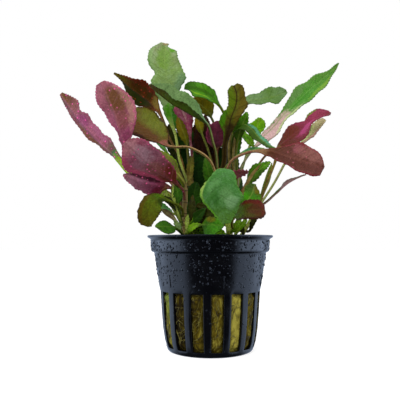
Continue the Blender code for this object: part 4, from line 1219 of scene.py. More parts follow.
# Small leaves, petioles and shoots that fill the plant between the big ones; the near-black upright leaves
# inside paint the shade in the plant's heart
INNER_LEAVES = (
    small("upright_green", "back_right", 62, ((12.9, 8, 77), (12.6, 4, 84.9), (13.1, 4, 91.9),
        (13.7, 4, 100.4)), cut(3.2, STRAP), EDGE_GREEN, neck=2, face=(0, -0.95, 0.3), fold=12),
    small("lime_strip", "back_right", 70, ((11.4, 6, 94.7), (13.1, 3, 99.7), (16.1, 1, 95.5),
        (20.1, 0, 90.2)), cut(4.2, STRAP), LIME_LEAF, neck=2, face=(0.3, -0.9, 0.2)),
    small("arch_base", "back_right", 66, ((12, 2, 88.3), (12.6, -3, 92.8), (13.8, -5.5, 97.7),
        (15.6, -6, 101.7), (16.5, -6, 104.9)), (1, 3, 4, 3.6, 2, 0.6), ARCH_BASE,
        right=(0.8, 1.6, 2.2, 2, 1.4, 0.4), neck=2, face=(0, -1, 0.1)),
    small("tan_petiole", "back_right", 64, ((9.4, 4, 79.3), (8.8, 1, 89), (9.7, 0, 98.1),
        (11.5, 0, 104.6)), cut(4, LANCE), TAN, TAN, stalk_half=0.7, neck=3),
    small("tan_petiole_two", "back_right", 60, ((11.1, 3, 75.4), (10.5, 0, 86.1), (11.9, -1, 96),
        (13.3, -1, 102.5)), cut(4, LANCE), TAN, TAN, stalk_half=0.6, neck=3),
    small("inner_dark", "back", 56, ((-4.5, 8, 70.4), (-5, 6.5, 75), (-5.4, 6.5, 81.5),
        (-5.9, 6.5, 90.1)), cut(9.5, BROAD), DEEP_SHADE, DEEP_SHADE, **UPRIGHT),
    small("inner_brown", "back", 66, ((-3.1, 8, 83.2), (-3.1, 8.5, 89.5), (-4, 9, 96.3),
        (-5.5, 9, 104)), cut(11, BROAD), DEEP_SHADE_BROWN, DEEP_SHADE_BROWN, **UPRIGHT),
    small("inner_left", "mid_left", 66, ((-11.1, 9, 77.2), (-13.5, 10, 83), (-14.1, 11, 90.9),
        (-13.6, 11, 98.7)), cut(9, BROAD), DEEP_SHADE, DEEP_SHADE, **UPRIGHT),
    small("inner_wall", "back", 58, ((2.1, 10, 71.6), (2.6, 9.5, 78.2), (2.1, 9.5, 85.8),
        (1.7, 9.5, 94.5)), cut(12, BROAD), DEEP_SHADE_BROWN, DEEP_SHADE, **UPRIGHT),
    small("inner_right", "back_right", 58, ((8.6, 8, 71.4), (9.1, 8, 78), (8.7, 8.5, 85.7),
        (8.3, 9, 94.4)), cut(10, BROAD), DEEP_SHADE, DEEP_SHADE, **UPRIGHT),
    small("inner_olive", "mid_left", 54, ((-7.2, 1, 58.8), (-7.7, -0.5, 63.7), (-7.2, -1, 68.6),
        (-6.3, -1, 74)), cut(7.5, BROAD), DEEP_GREEN, DEEP_GREEN, face=(0, -1, 0.1), fold=12),
    small("inner_low", "back", 52, ((0.2, 8, 60.1), (-0.8, 8.5, 64.8), (-1.7, 9, 69.6),
        (-2.6, 9, 74.3)), cut(13, BROAD), DEEP_GREEN, DEEP_SHADE, **UPRIGHT),
    small("inner_low_left", "mid_left", 52, ((-8.2, 8.5, 54.5), (-9.7, 9.5, 59.3), (-11.1, 10, 64.9),
        (-12.5, 10, 70.6)), cut(10, BROAD), DEEP_GREEN, DEEP_SHADE, **UPRIGHT),
    small("mid_green", "middle", 62, ((0.8, -5, 71.8), (-0.1, -6, 74.3), (-1, -7, 78.6),
        (-2.3, -7, 83.9)), cut(5, OVAL), MID_GREEN, fold=12),
    small("upright_olive", "mid_left", 60, ((-8.1, 1, 68.3), (-9, -1, 74), (-9, -2, 80.3),
        (-7.7, -2, 87.5)), cut(3.2, STRAP), TAN, TAN, face=(0.2, -1, 0.1), fold=15),
    small("low_dark", "left", 56.5, ((-14.2, -13.5, 60.1), (-17, -17, 63.2), (-20.6, -19, 64.7),
        (-24.3, -19.5, 62.6)), cut(4.6, LANCE), DEEP_SHADE_OLIVE, DEEP_SHADE, face=(0.1, -0.7, 0.7), fold=12),
    small("low_petiole", "left", 54, ((-13.8, -14, 58.8), (-15.5, -15, 64.7), (-16, -14, 71.6)),
        cut(1.5, STRAP), PALE_LIME, PALE_LIME, face=(0, -1, 0), fold=12, **SMOOTH),
    small("low_petiole_two", "left", 55.5, ((-15.5, -14, 60.5), (-18.1, -14, 64.7),
        (-19.4, -13, 70.8)), cut(1.5, STRAP), PALE_LIME, PALE_LIME, face=(0, -1, 0), fold=12, **SMOOTH),
    small("low_shoot", "left", 55, ((-13.8, -14, 62.6), (-13.8, -14.5, 66.4), (-15.1, -14.5, 70.7)),
        cut(3.6, LANCE), MID_GREEN, face=(0, -1, 0), fold=12),
    small("pink_petiole", "left", 52.5, ((-14.3, -13, 55.5), (-17.2, -14, 58.4), (-20.9, -15, 60.9)),
        cut(2.6, STRAP), PINK_TAN, PINK_TAN, face=(0, -1, 0.3), fold=12, **SMOOTH),
    small("blue_shoot", "left", 51.6, ((-13, -13, 51.7), (-13.8, -14, 53.7), (-15.4, -15, 56.2)),
        cut(2.8, OVAL), SAGE, fold=8),
    small("lime_shoot_a", "mid_left", 51, ((-8.5, -2, 51), (-8.9, -3, 55), (-9.4, -3, 59.9),
        (-10.3, -3, 63.9)), cut(2.6, STRAP), LIME_SHOOT, LIME_SHOOT, face=(0, -1, 0), fold=12, **SMOOTH),
    small("lime_shoot_b", "mid_left", 51.6, ((-6.7, -3, 51), (-5.8, -5, 54.1), (-4.9, -6, 57.5)),
        cut(3, LANCE), LIME_SHOOT, LIME_SHOOT, face=(0, -1, 0), fold=12),
    small("lime_shoot_c", "middle", 51.4, ((1.6, -7, 50.9), (0.2, -9, 53.5), (-1.9, -10, 56.5)),
        cut(3.6, LANCE), MID_GREEN, face=(0, -1, 0), fold=12),
    small("shade_shoot", "middle", 55, ((1.2, -6, 58.4), (-1, -7, 61), (-4.1, -8, 62.6),
        (-6.7, -8, 62.6)), cut(4.4, LANCE), DEEP_SHADE_OLIVE, DEEP_SHADE_OLIVE, face=(0, -1, 0.3), fold=12),
    small("mauve_shoot", "mid_left", 62, ((-9.5, 0, 67.8), (-11.7, -2, 69.4), (-13.9, -3, 71.1)),
        cut(3.2, OVAL), MID_GREEN, face=(0, -1, 0), fold=8),
    small("inner_far_left", "mid_left", 70, ((-14.9, 8, 85.6), (-16.8, 9, 91.5), (-18.3, 9, 97.3),
        (-18.8, 9, 103.1)), cut(7, BROAD), DEEP_SHADE_OLIVE, DEEP_SHADE, **UPRIGHT),
    small("inner_left_low", "mid_left", 60, ((-13.4, 8, 70.4), (-15.3, 9, 76.2), (-16.3, 9, 81.9),
        (-17.3, 9, 87.7)), cut(7, BROAD), DEEP_SHADE_OLIVE, DEEP_SHADE, **UPRIGHT),
    small("base_leaf_a", "middle", 51.5, ((-2.2, 2, 50.7), (-3.6, 1, 54.3), (-4.5, 0, 58.7),
        (-5.9, 0, 62.8)), cut(5, OVAL), MID_GREEN),
    small("base_leaf_b", "middle", 52, ((-1.8, 0, 51.5), (-1.4, -2, 55.9), (-0.1, -3, 60.3),
        (1.7, -3, 64.4)), cut(6, OVAL), DEEP_SHADE_OLIVE, face=(0.1, -1, 0.2)),
    small("base_leaf_c", "left", 51, ((-8.8, -10, 50.9), (-7.5, -12, 53.4), (-6.2, -13, 56.7),
        (-5.8, -13, 59.7)), cut(3.6, OVAL), LIME_SHOOT, LIME_SHOOT, face=(0.1, -1, 0.2)),
    small("base_leaf_d", "mid_left", 51.3, ((-7.6, 0, 50.6), (-8.1, -1, 54.2), (-9, -1, 57.8),
        (-8.5, -1, 61.8)), cut(4, OVAL), MID_GREEN),
    small("base_leaf_e", "middle", 51.2, ((1.6, -6, 50.5), (2.5, -7, 53.1), (4.2, -8, 56.6),
        (4.6, -8, 60)), cut(4.6, OVAL), MID_GREEN),
    small("base_leaf_f", "front", 50.9, ((10.9, -10, 50.5), (12.2, -11, 52.6), (14.2, -12, 55.1),
        (15.5, -12, 57.6)), cut(2.2, STRAP), LIME_SHOOT, LIME_SHOOT, face=(0, -1, 0.1)),
    small("base_leaf_g", "right", 51, ((14.4, -5, 51), (13.4, -6, 53.6), (13, -6, 56.2)),
        cut(2.6, OVAL), DEEP_SHADE_OLIVE, DEEP_SHADE),
    small("base_leaf_h", "left", 51.6, ((-9.2, -11, 52.1), (-7.5, -13, 55.5), (-4.5, -14, 58.8),
        (-2, -14, 61.4)), cut(5, OVAL), DEEP_GREEN, face=(0.1, -1, 0.3)),
    small("base_leaf_i", "mid_left", 51.2, ((-5.8, -2, 50.6), (-3.6, -6, 52.7), (-1.5, -9, 55.6),
        (-0.2, -10, 59)), cut(5.5, OVAL), LIME_LEAF, face=(0, -1, 0.3)),
    small("base_leaf_j", "left", 50.8, ((-9.6, -12, 50.8), (-8.7, -14, 52.5), (-6.6, -15, 53.7),
        (-4.1, -15, 54.5)), cut(3.4, OVAL), LIME_SHOOT, LIME_SHOOT, face=(0, -1, 0.4)),
    small("base_leaf_k", "mid_left", 52.4, ((-9, -1, 53.3), (-9.8, -3, 57.2), (-9.4, -4, 61.6),
        (-8, -4, 66.1)), cut(3.4, OVAL), MID_GREEN),
    small("base_leaf_l", "front", 51.4, ((7.3, -14, 50.8), (9.3, -16, 52.4), (11.3, -17, 54.9),
        (12.6, -17, 57.4)), cut(3, OVAL), LIME_SHOOT, LIME_SHOOT),
    small("base_leaf_m", "front", 50.6, ((6.5, -13.5, 50), (3.5, -14.5, 51.2), (1, -15, 53.3),
        (-1.1, -15, 54.5)), cut(3.6, OVAL), LIME_LEAF, face=(0, -1, 0.3)),
    small("base_leaf_n", "left", 50.6, ((-10.2, -12, 51.4), (-10, -13, 54.8), (-9.6, -13.5, 58.6)),
        cut(1.8, STRAP), PALE_LIME, PALE_LIME, face=(0, -1, 0.1)),
    small("base_leaf_o", "mid_left", 50.5, ((-8.4, -4, 50.8), (-7.4, -6, 54), (-7.1, -7, 58),
        (-7.6, -7, 61.4)), cut(1.6, STRAP), PALE_LIME, PALE_LIME, face=(0, -1, 0.1)),
    small("base_leaf_p", "front", 50.8, ((7.3, -16.6, 51), (7.5, -17, 53.5), (7.3, -17.2, 57)),
        cut(3.4, STRAP), PALE_LIME, PALE_LIME, face=(0, -1, 0.1)),
    small("low_shade", "mid_left", 64, ((-11.9, 6, 64.2), (-13.7, 4, 67.2), (-15.5, 2, 70.7),
        (-16.3, 1, 75.2)), cut(6, OVAL), DEEP_GREEN, DEEP_SHADE),
    small("teal_band", "middle", 66, ((6, -8, 77.6), (9.4, -10, 82.1), (12.7, -12, 84.6),
        (16.8, -15, 85.8), (22.3, -18, 86.3)), cut(2.4, STRAP), TEAL, DEEP_SHADE, tooth=0, neck=2,
        face=(0, -0.9, 0.4), fold=8),
    small("olive_half", "mid_left", 74, ((-10.4, -2, 90.3), (-11.2, -4, 94.4), (-13, -5, 98.8),
        (-14.4, -4, 104.5)), cut(5, OVAL), TOP_YELLOW, face=(0, -1, 0.1)),
    small("folded_olive", "middle", 73, ((1.4, 0, 80.6), (-0.8, 2, 89.2), (-3.6, 3, 96.9),
        (-5, 3, 102.6), (-5.4, 3, 107.8)), cut(4.2, OVAL), TOP_YELLOW, neck=3, face=(0, -1, 0), fold=15),
    small("right_low", "right", 51.6, ((17.4, -6, 52.3), (18.5, -8, 55.7), (20.3, -8, 59.2)),
        cut(2.4, STRAP), DEEP_SHADE_OLIVE, fold=12),
    small("right_upright", "right", 58, ((22.1, 0, 63.7), (24, 0, 69.6), (26.3, 0, 76),
        (28.2, 0, 82.9)), cut(2.6, STRAP), LIME_TAN, LIME_TAN, wave=0, tooth=0, face=(0, -1, 0), fold=15),
    small("right_brown", "front", 61, ((11.5, -10, 62.9), (14.4, -11, 69.3), (17.8, -12, 75.7),
        (22.2, -12, 80.9)), cut(1.4, STRAP), BROWN_STALK, BROWN_STALK, face=(0, -1, 0), **SMOOTH),
)

LEAVES = LEFT_LEAVES + TOP_LEAVES + RIGHT_LEAVES + FRONT_LEAVES + BACK_LEAVES + INNER_LEAVES


@dataclass(frozen=True)
class StemFinish(Finish):
    """Stem skin: green and waxy while young, brown and matt once it has turned woody."""

    base: str
    upper: str
    scar: str
    streak: str
    roughness: float

    def sockets(self, add: Adder) -> dict:
        """Adds the nodes and gives the shader's inputs."""
        size = add("UVMap", uv_map="size").outputs[0]
        lengths = add("SeparateXYZ", {0: size}).outputs
        # Fine streaks along the stem, 0.3 mm wide and 4 mm long
        stretched = add("VectorMath", {0: size, 1: (3.0, 0.25, 1.0)}, operation="MULTIPLY")
        streaks = add("TexNoise", {"Vector": stretched, "Scale": 1.0, "Detail": 3.0})
        height = add("MapRange", {"Value": lengths[1], "From Min": 10.0, "From Max": 42.0})
        body = add("Mix", {0: height, 6: linear(self.base), 7: linear(self.upper)}, data_type="RGBA")
        lines = add("MapRange", {"Value": streaks, "From Min": 0.45, "From Max": 0.7, "To Max": 0.7})
        streaked = add("Mix", {0: lines, 6: body.outputs[2], 7: linear(self.streak)}, data_type="RGBA")
        # Leaf scars ring the stem about every 5 mm
        ring = add("Math", {0: lengths[1], 1: 5.0}, operation="DIVIDE")
        near = add("Math", {0: ring, 1: 0.5}, operation="PINGPONG")
        scar = add("MapRange", {"Value": near, "From Min": 0.09, "From Max": 0.02, "To Max": 0.8}, **SOFT)
        marked = add("Mix", {0: scar, 6: streaked.outputs[2], 7: linear(self.scar)}, data_type="RGBA")
        bump = add("Bump", {"Height": streaks, "Strength": 0.5, "Distance": 0.2 * MM})
        return {"Base Color": marked.outputs[2], "Roughness": self.roughness, "Normal": bump, "IOR": 1.42}


BARK = StemFinish("woody_stem", "#a08c50", "#7c6834", "#4a3616", "#685428", 0.6)
GREEN_STEM = StemFinish("green_stem", "#9aa046", "#7f9a3a", "#6a5a24", "#5f8028", 0.45)
STEM_FINISHES = {Skin.WOODY: BARK, Skin.GREEN: GREEN_STEM}


@dataclass
class StemPiece:
    """A stem with leaf scars, wrapped from a grid into a closed tube."""

    stem: Stem
    sides: int = 16
    scar_pitch: float = 5.0
    scar_swell: float = 0.22

    def build(self) -> None:
        """Builds the stem over its solid."""
        points = self.stem.axis()
        travel = running_lengths(points)
        bm = bmesh.new()
        size_uv = bm.loops.layers.uv.new("size")
        places = lay_tube(bm, points, self.sides, lambda number, angle: self._radius(travel[number], angle))
        for face in bm.faces:
            for loop in face.loops:
                number, angle = places[loop.vert]
                loop[size_uv].uv = (angle * self.stem.radius, travel[number])
        close_tubes(bm, self.sides)
        finish = STEM_FINISHES[self.stem.skin]
        obj = put_in_scene(self.stem.name + "_stem", bm, [finish.build()])
        node = "stem_" + self.stem.name
        report(obj, SLOTS[node], node)

    def _radius(self, travel: float, angle: float) -> float:
        """Finds the radius: a swelling under each leaf scar and slight ribs round the stem."""
        near = abs(travel / self.scar_pitch - round(travel / self.scar_pitch)) * self.scar_pitch
        swell = self.scar_swell * math.exp(-((near / 0.7) ** 2)) if self.stem.skin is Skin.WOODY else 0.0
        return self.stem.radius * (0.94 + swell + 0.04 * math.sin(5 * angle))


@dataclass(frozen=True)
class PotPlastic(Finish):
    """Injection-moulded polypropylene, black and softly glossy, with small drops of water on it."""

    name: str = "black_polypropylene"
    base: str = "#050508"
    dust: str = "#0e0f15"
    roughness: float = 0.19
    drop_pitch: float = 1.5

    def sockets(self, add: Adder) -> dict:
        """Adds the nodes and gives the shader's inputs."""
        place = add("TexCoord").outputs["Object"]
        # Haze from damp in clouds of 6 mm
        haze = add("TexNoise", {"Vector": place, "Scale": 1 / (6 * MM), "Detail": 5.0, "Roughness": 0.6})
        colour = add("Mix", {0: haze, 6: linear(self.base), 7: linear(self.dust)}, data_type="RGBA")
        low, high = self.roughness - 0.06, self.roughness + 0.1
        rough = add(
            "MapRange", {"Value": haze, "From Min": 0.35, "From Max": 0.65, "To Min": low, "To Max": high},
        )
        # Grain of the mould, 0.4 mm
        grain = add("TexNoise", {"Vector": place, "Scale": 1 / (0.4 * MM), "Detail": 2.0})
        wet = add(
            "MapRange", {"Value": haze, "From Min": 0.38, "From Max": 0.56, "To Min": 0.25, "To Max": 1.0},
            **SOFT,
        )
        drops = add("TexVoronoi", {"Vector": place, "Scale": 1 / (self.drop_pitch * MM)})
        chance = add("SeparateColor", {0: drops.outputs["Color"]})
        kept = add("Math", {0: chance, 1: wet}, operation="MULTIPLY")
        # A drop's radius is up to a quarter of the pitch, and most cells have none
        size = add("MapRange", {"Value": kept, "From Min": 0.28, "From Max": 1.0, "To Max": 0.4})
        inside = add("Math", {0: size, 1: drops.outputs["Distance"]}, operation="SUBTRACT", use_clamp=True)
        dome = add("Math", {0: inside, 1: 0.6}, operation="POWER")
        fine = add("Bump", {"Height": grain, "Strength": 0.12, "Distance": 0.1 * MM})
        bump = add("Bump", {"Height": dome, "Strength": 1.0, "Distance": 0.8 * MM, "Normal": fine})
        return {"Base Color": colour.outputs[2], "Roughness": rough, "Normal": bump, "IOR": 1.49}


def radius_of(profile: tuple[tuple[float, float], ...], height: float) -> float:
    """Finds the radius at a height, both in millimetres.

    Args:
        profile: Pairs of a height and a radius, from the bottom upwards.
        height: The height asked for.
    """
    for (low, first), (high, second) in zip(profile, profile[1:]):
        if height <= high:
            return first + (second - first) * (height - low) / (high - low)
    return profile[-1][1]


@dataclass
class NetPot:
    """The moulded pot: a spun shell with slots through its wall and drains in its foot."""

    slots: int = 16
    pitch_columns: int = 8
    rib_columns: int = 3
    drain_pitch: int = 16
    drain_columns: tuple[int, ...] = (7, 8, 9, 10, 11)
    front_rib: float = -4.3
    slot_heights: tuple[float, float] = (2.3, 25.8)
    outside: tuple[tuple[float, float], ...] = (
        (0.0, 17.6), (0.25, 18.25), (0.8, 18.75), (2.3, 19.35), (4.5, 20.0), (9.4, 20.8), (16.0, 21.4),
        (25.8, 22.05), (28.1, 22.6), (28.6, 22.68), (41.7, 24.77), (42.2, 24.85), (42.6, 25.1),
        (42.9, 26.0), (43.3, 26.15), (43.8, 26.177), (47.4, 26.373), (47.9, 26.4), (48.5, 26.75),
        (48.9, 27.5), (49.2, 27.9), (49.5, 28.0), (49.8, 27.95), (50.0, 27.7),
    )
    inside: tuple[tuple[float, float], ...] = (
        (50.0, 25.6), (49.7, 25.3), (42.4, 23.7), (28.1, 21.4), (25.8, 20.85), (16.0, 20.2), (9.4, 19.6),
        (2.3, 18.2), (1.6, 17.7),
    )
    foot: float = 1.5
    foot_edge: float = 17.9
    drain_reach: tuple[float, float] = (8.0, 16.0)

    def build(self) -> None:
        """Builds the pot over its solid."""
        columns = self.slots * self.pitch_columns
        inner, outer = self.drain_reach
        profile = [(0.0, 0.0), (0.0, inner), (0.0, outer), *self.outside, *self.inside]
        profile += [(self.foot, outer), (self.foot, inner), (self.foot, 0.0)]
        bm = bmesh.new()
        start = math.radians(self.front_rib) + math.pi / columns * self.rib_columns
        across = Vector((math.sin(start), -math.cos(start), 0))
        verts = [
            bm.verts.new((across * radius + Vector((0, 0, height))) * MM) for height, radius in profile
        ]
        edges = [bm.edges.new(pair) for pair in zip(verts, verts[1:])]
        bmesh.ops.spin(
            bm, geom=[*verts, *edges], cent=(0, 0, 0), axis=(0, 0, 1), angle=math.tau, steps=columns,
            use_merge=True,
        )
        bmesh.ops.remove_doubles(bm, verts=bm.verts, dist=1e-6)
        self._open(bm, columns)
        bmesh.ops.recalc_face_normals(bm, faces=bm.faces)
        obj = put_in_scene("net_pot", bm, [PotPlastic().build()])
        bevel = obj.modifiers.new("moulded_edges", "BEVEL")
        bevel.width = 0.22 * MM
        bevel.segments = 2
        bevel.limit_method = "ANGLE"
        bevel.angle_limit = math.radians(40)
        bevel.harden_normals = False
        report(obj, SLOTS["pot"], "pot")

    def _open(self, bm: Mesh, columns: int) -> None:
        """Opens the slots and drains and joins their outer and inner edges.

        Args:
            bm: The spun shell.
            columns: How many columns it has round the axis.
        """
        low, high = (height * MM for height in self.slot_heights)
        first, last = (radius * MM for radius in self.drain_reach)
        doomed = []
        for face in bm.faces:
            middle = face.calc_center_median()
            azimuth = math.atan2(middle.x, -middle.y) - math.radians(self.front_rib)
            column = math.floor((azimuth % math.tau) / math.tau * columns + self.rib_columns / 2)
            wall = low < middle.z < high and middle.xy.length > self.foot_edge * MM
            if wall and column % self.pitch_columns >= self.rib_columns:
                doomed.append(face)
            foot = middle.z < (self.foot + 0.05) * MM and first < middle.xy.length < last
            if foot and column % self.drain_pitch in self.drain_columns:
                doomed.append(face)
        bmesh.ops.delete(bm, geom=doomed, context="FACES")
        rims = [edge for edge in bm.edges if edge.is_boundary]
        islands = edge_loops(rims)
        taken = set()
        for number, loop in enumerate(islands):
            if number in taken:
                continue
            centre = loop_centre(loop)
            mate = min(
                (other for other in range(len(islands)) if other != number and other not in taken),
                key=lambda other: (loop_centre(islands[other]) - centre).length,
            )
            taken.update((number, mate))
            bmesh.ops.bridge_loops(bm, edges=[*loop, *islands[mate]])


def edge_loops(edges: Edges) -> list[Edges]:
    """Sorts edges into connected loops.

    Args:
        edges: The edges of some closed loops.

    Returns:
        The edges of each loop.
    """
    left = dict.fromkeys(edges)
    loops = []
    while left:
        start = next(iter(left))
        del left[start]
        loop = [start]
        queue = [start]
        while queue:
            edge = queue.pop()
            for vert in edge.verts:
                for other in vert.link_edges:
                    if other in left:
                        del left[other]
                        loop.append(other)
                        queue.append(other)
        loops.append(loop)
    return loops


def loop_centre(loop: Edges) -> Vector:
    """Finds the middle of a loop of edges."""
    total = Vector()
    for edge in loop:
        total += (edge.verts[0].co + edge.verts[1].co) / 2
    return total / len(loop)


@dataclass
class MouldMarks:
    """Six short upright ribs that the mould leaves above the slots."""

    count: int = 6
    first: float = -47.5
    middle: float = 30.8
    size: Point = (0.55, 0.5, 5.4)
    lean: float = 9.0

    def build(self, pot: NetPot) -> None:
        """Builds the ribs, sunk for the most part into the wall."""
        bm = bmesh.new()
        for number in range(self.count):
            turn = math.radians(self.first + 360 / self.count * number)
            place = (
                Matrix.Rotation(turn, 4, "Z")
                @ Matrix.Translation((0, -radius_of(pot.outside, self.middle) * MM, self.middle * MM))
                @ Matrix.Rotation(math.radians(self.lean), 4, "X")
                @ Matrix.Diagonal((*(length * MM for length in self.size), 1))
            )
            bmesh.ops.create_cube(bm, size=1.0, matrix=place)
        obj = put_in_scene("mould_marks", bm, [PotPlastic().build()])
        bevel = obj.modifiers.new("moulded_edges", "BEVEL")
        bevel.width = 0.12 * MM
        bevel.segments = 2
        report(obj, SLOTS["pot"])


@dataclass(frozen=True)
class TwoToneFinish(Finish):
    """A plain finish whose colour drifts between two tones, in patches of some millimetres."""

    first: str
    second: str
    patch: float
    detail: float
    start: float
    end: float
    roughness: float
    ior: float

    def sockets(self, add: Adder) -> dict:
        """Adds the nodes and gives the shader's inputs."""
        place = add("TexCoord").outputs["Object"]
        drift = add("TexNoise", {"Vector": place, "Scale": 1 / (self.patch * MM), "Detail": self.detail})
        share = add("MapRange", {"Value": drift, "From Min": self.start, "From Max": self.end})
        colour = add("Mix", {0: share, 6: linear(self.first), 7: linear(self.second)}, data_type="RGBA")
        return {"Base Color": colour.outputs[2], "Roughness": self.roughness, "IOR": self.ior}


# Clear water on black plastic looks black, with a sharp glint of the lights; the grey tone on some drops is
# a painted glint
WATER = TwoToneFinish("water_drops", "#3a404c", "#050608", 1.5, 2.0, 0.35, 0.6, 0.04, 1.33)
# Loose fibres of rock wool are brown where they are soaked and paler where they are dry
FIBRE = TwoToneFinish("loose_fibre", "#34280a", "#7c7430", 2, 3.0, 0.4, 0.62, 0.6, 1.4)


@dataclass
class WaterDrops:
    """Drops of water on the pot, close together on its band and fewer down to the slots."""

    count: int = 1300
    on_band: float = 0.36
    band: tuple[float, float] = (43.5, 47.7)
    top: float = 41.8
    reach: float = 13.2
    smallest: float = 0.14
    largest: float = 0.5
    flatness: float = 0.6
    seed: int = 11

    def build(self, pot: NetPot) -> None:
        """Builds the drops as flat beads that stand half in the wall."""
        draw = random.Random(self.seed)
        bm = bmesh.new()
        for _ in range(self.count):
            band = draw.random() < self.on_band
            height = draw.uniform(*self.band) if band else self.top - self.reach * draw.random() ** 1.4
            out = Vector((0, -1, 0))
            out.rotate(Matrix.Rotation(draw.uniform(0, math.tau), 3, "Z"))
            size = self.smallest + (self.largest - self.smallest) * draw.random() ** 2
            tall = size * draw.uniform(0.9, 1.5)
            place = (
                Matrix.Translation((out * radius_of(pot.outside, height) + Vector((0, 0, height))) * MM)
                @ out.to_track_quat("Z", "Y").to_matrix().to_4x4()
                @ Matrix.Diagonal((size * MM, tall * MM, self.flatness * size * MM, 1))
            )
            part = bmesh.new()
            bmesh.ops.create_uvsphere(part, u_segments=8, v_segments=5, radius=1.0, matrix=place)
            gather(bm, part)
        obj = put_in_scene("water_drops", bm, [WATER.build()])
        report(obj, SLOTS["pot"])


@dataclass(frozen=True)
class WoolFinish(Finish):
    """Damp rock wool: matted mineral fibre, olive where algae grow and dark brown in the hollows of its
    fibre, partly its own brown and partly painted shade.

    The levels say how bright it is at some azimuths, in degrees from the front: it is darker
    behind some slots than behind others.
    """

    name: str = "rock_wool_mat"
    light: str = "#a89f44"
    middle: str = "#5c5010"
    dark: str = "#1e1602"
    green: str = "#6c8c3c"
    levels: tuple[tuple[float, float], ...] = (
        (-170, 0.5), (-128, 0.3), (-83, 0.4), (-61, 0.66), (-50, 0.6), (-48, 0.06), (-38, 0.1), (-26, 0.2),
        (-15, 0.3), (-2, 0.36), (7, 0.5), (17, 0.56), (20, 0.84), (30, 0.9), (41, 0.7), (43, 0.4),
        (52, 0.5), (75, 0.3), (128, 0.7), (170, 0.5),
    )

    def sockets(self, add: Adder) -> dict:
        """Adds the nodes and gives the shader's inputs."""
        place = add("TexCoord").outputs["Object"]
        turn = add("UVMap", uv_map="turn").outputs[0]
        ways = add("SeparateXYZ", {0: turn}).outputs
        swirl = add("TexNoise", {"Vector": place, "Scale": 1 / (9 * MM), "Detail": 2.0})
        warped = add(
            "VectorMath", {0: swirl.outputs["Color"], 1: (8 * MM, 8 * MM, 8 * MM), 2: place},
            operation="MULTIPLY_ADD",
        )
        # Bundles of fibre a millimetre thick and several millimetres long
        combed = add("Mapping", {0: warped, "Scale": (1, 1, 0.22)}, vector_type="POINT")
        fibre = add(
            "TexNoise", {"Vector": combed, "Scale": 1 / (1.3 * MM), "Detail": 5.0, "Roughness": 0.62},
        )
        clump = add("TexNoise", {"Vector": place, "Scale": 1 / (4 * MM), "Detail": 3.0})
        # Brighter or darker behind each slot, by azimuth
        levels = [(0.5 + azimuth / 360, (level, level, level, 1)) for azimuth, level in self.levels]
        wet = add("ValToRGB", {0: ways[0]}, stops=levels)
        base = add("Math", {0: clump, 1: 0.55, 2: wet}, operation="MULTIPLY_ADD")
        total = add("Math", {0: fibre, 1: 1.5, 2: base}, operation="MULTIPLY_ADD")
        share = add("MapRange", {"Value": total, "From Min": 0.95, "From Max": 2.05})
        # Dark brown where the fibre's bump is low: partly the wool's own brown, partly painted shade in the
        # hollows
        tones = ((0.12, linear(self.dark)), (0.5, linear(self.middle)), (0.9, linear(self.light)))
        ramp = add("ValToRGB", {0: share}, stops=tones)
        # Algae tint the upper left, where the light reaches
        algae = add("MapRange", {"Value": ways[0], "From Min": 0.37, "From Max": 0.35}, **SOFT)
        lit = add(
            "MapRange", {"Value": ways[1], "From Min": 0.2, "From Max": 0.5, "To Min": 0.1, "To Max": 0.6},
            **SOFT,
        )
        greened = add("Math", {0: algae, 1: lit}, operation="MULTIPLY")
        colour = add("Mix", {0: greened, 6: ramp, 7: linear(self.green)}, data_type="RGBA")
        bump = add("Bump", {"Height": fibre, "Strength": 0.8, "Distance": 0.6 * MM})
        return {
            "Base Color": colour.outputs[2], "Roughness": 0.85, "Normal": bump, "Specular IOR Level": 0.1,
        }


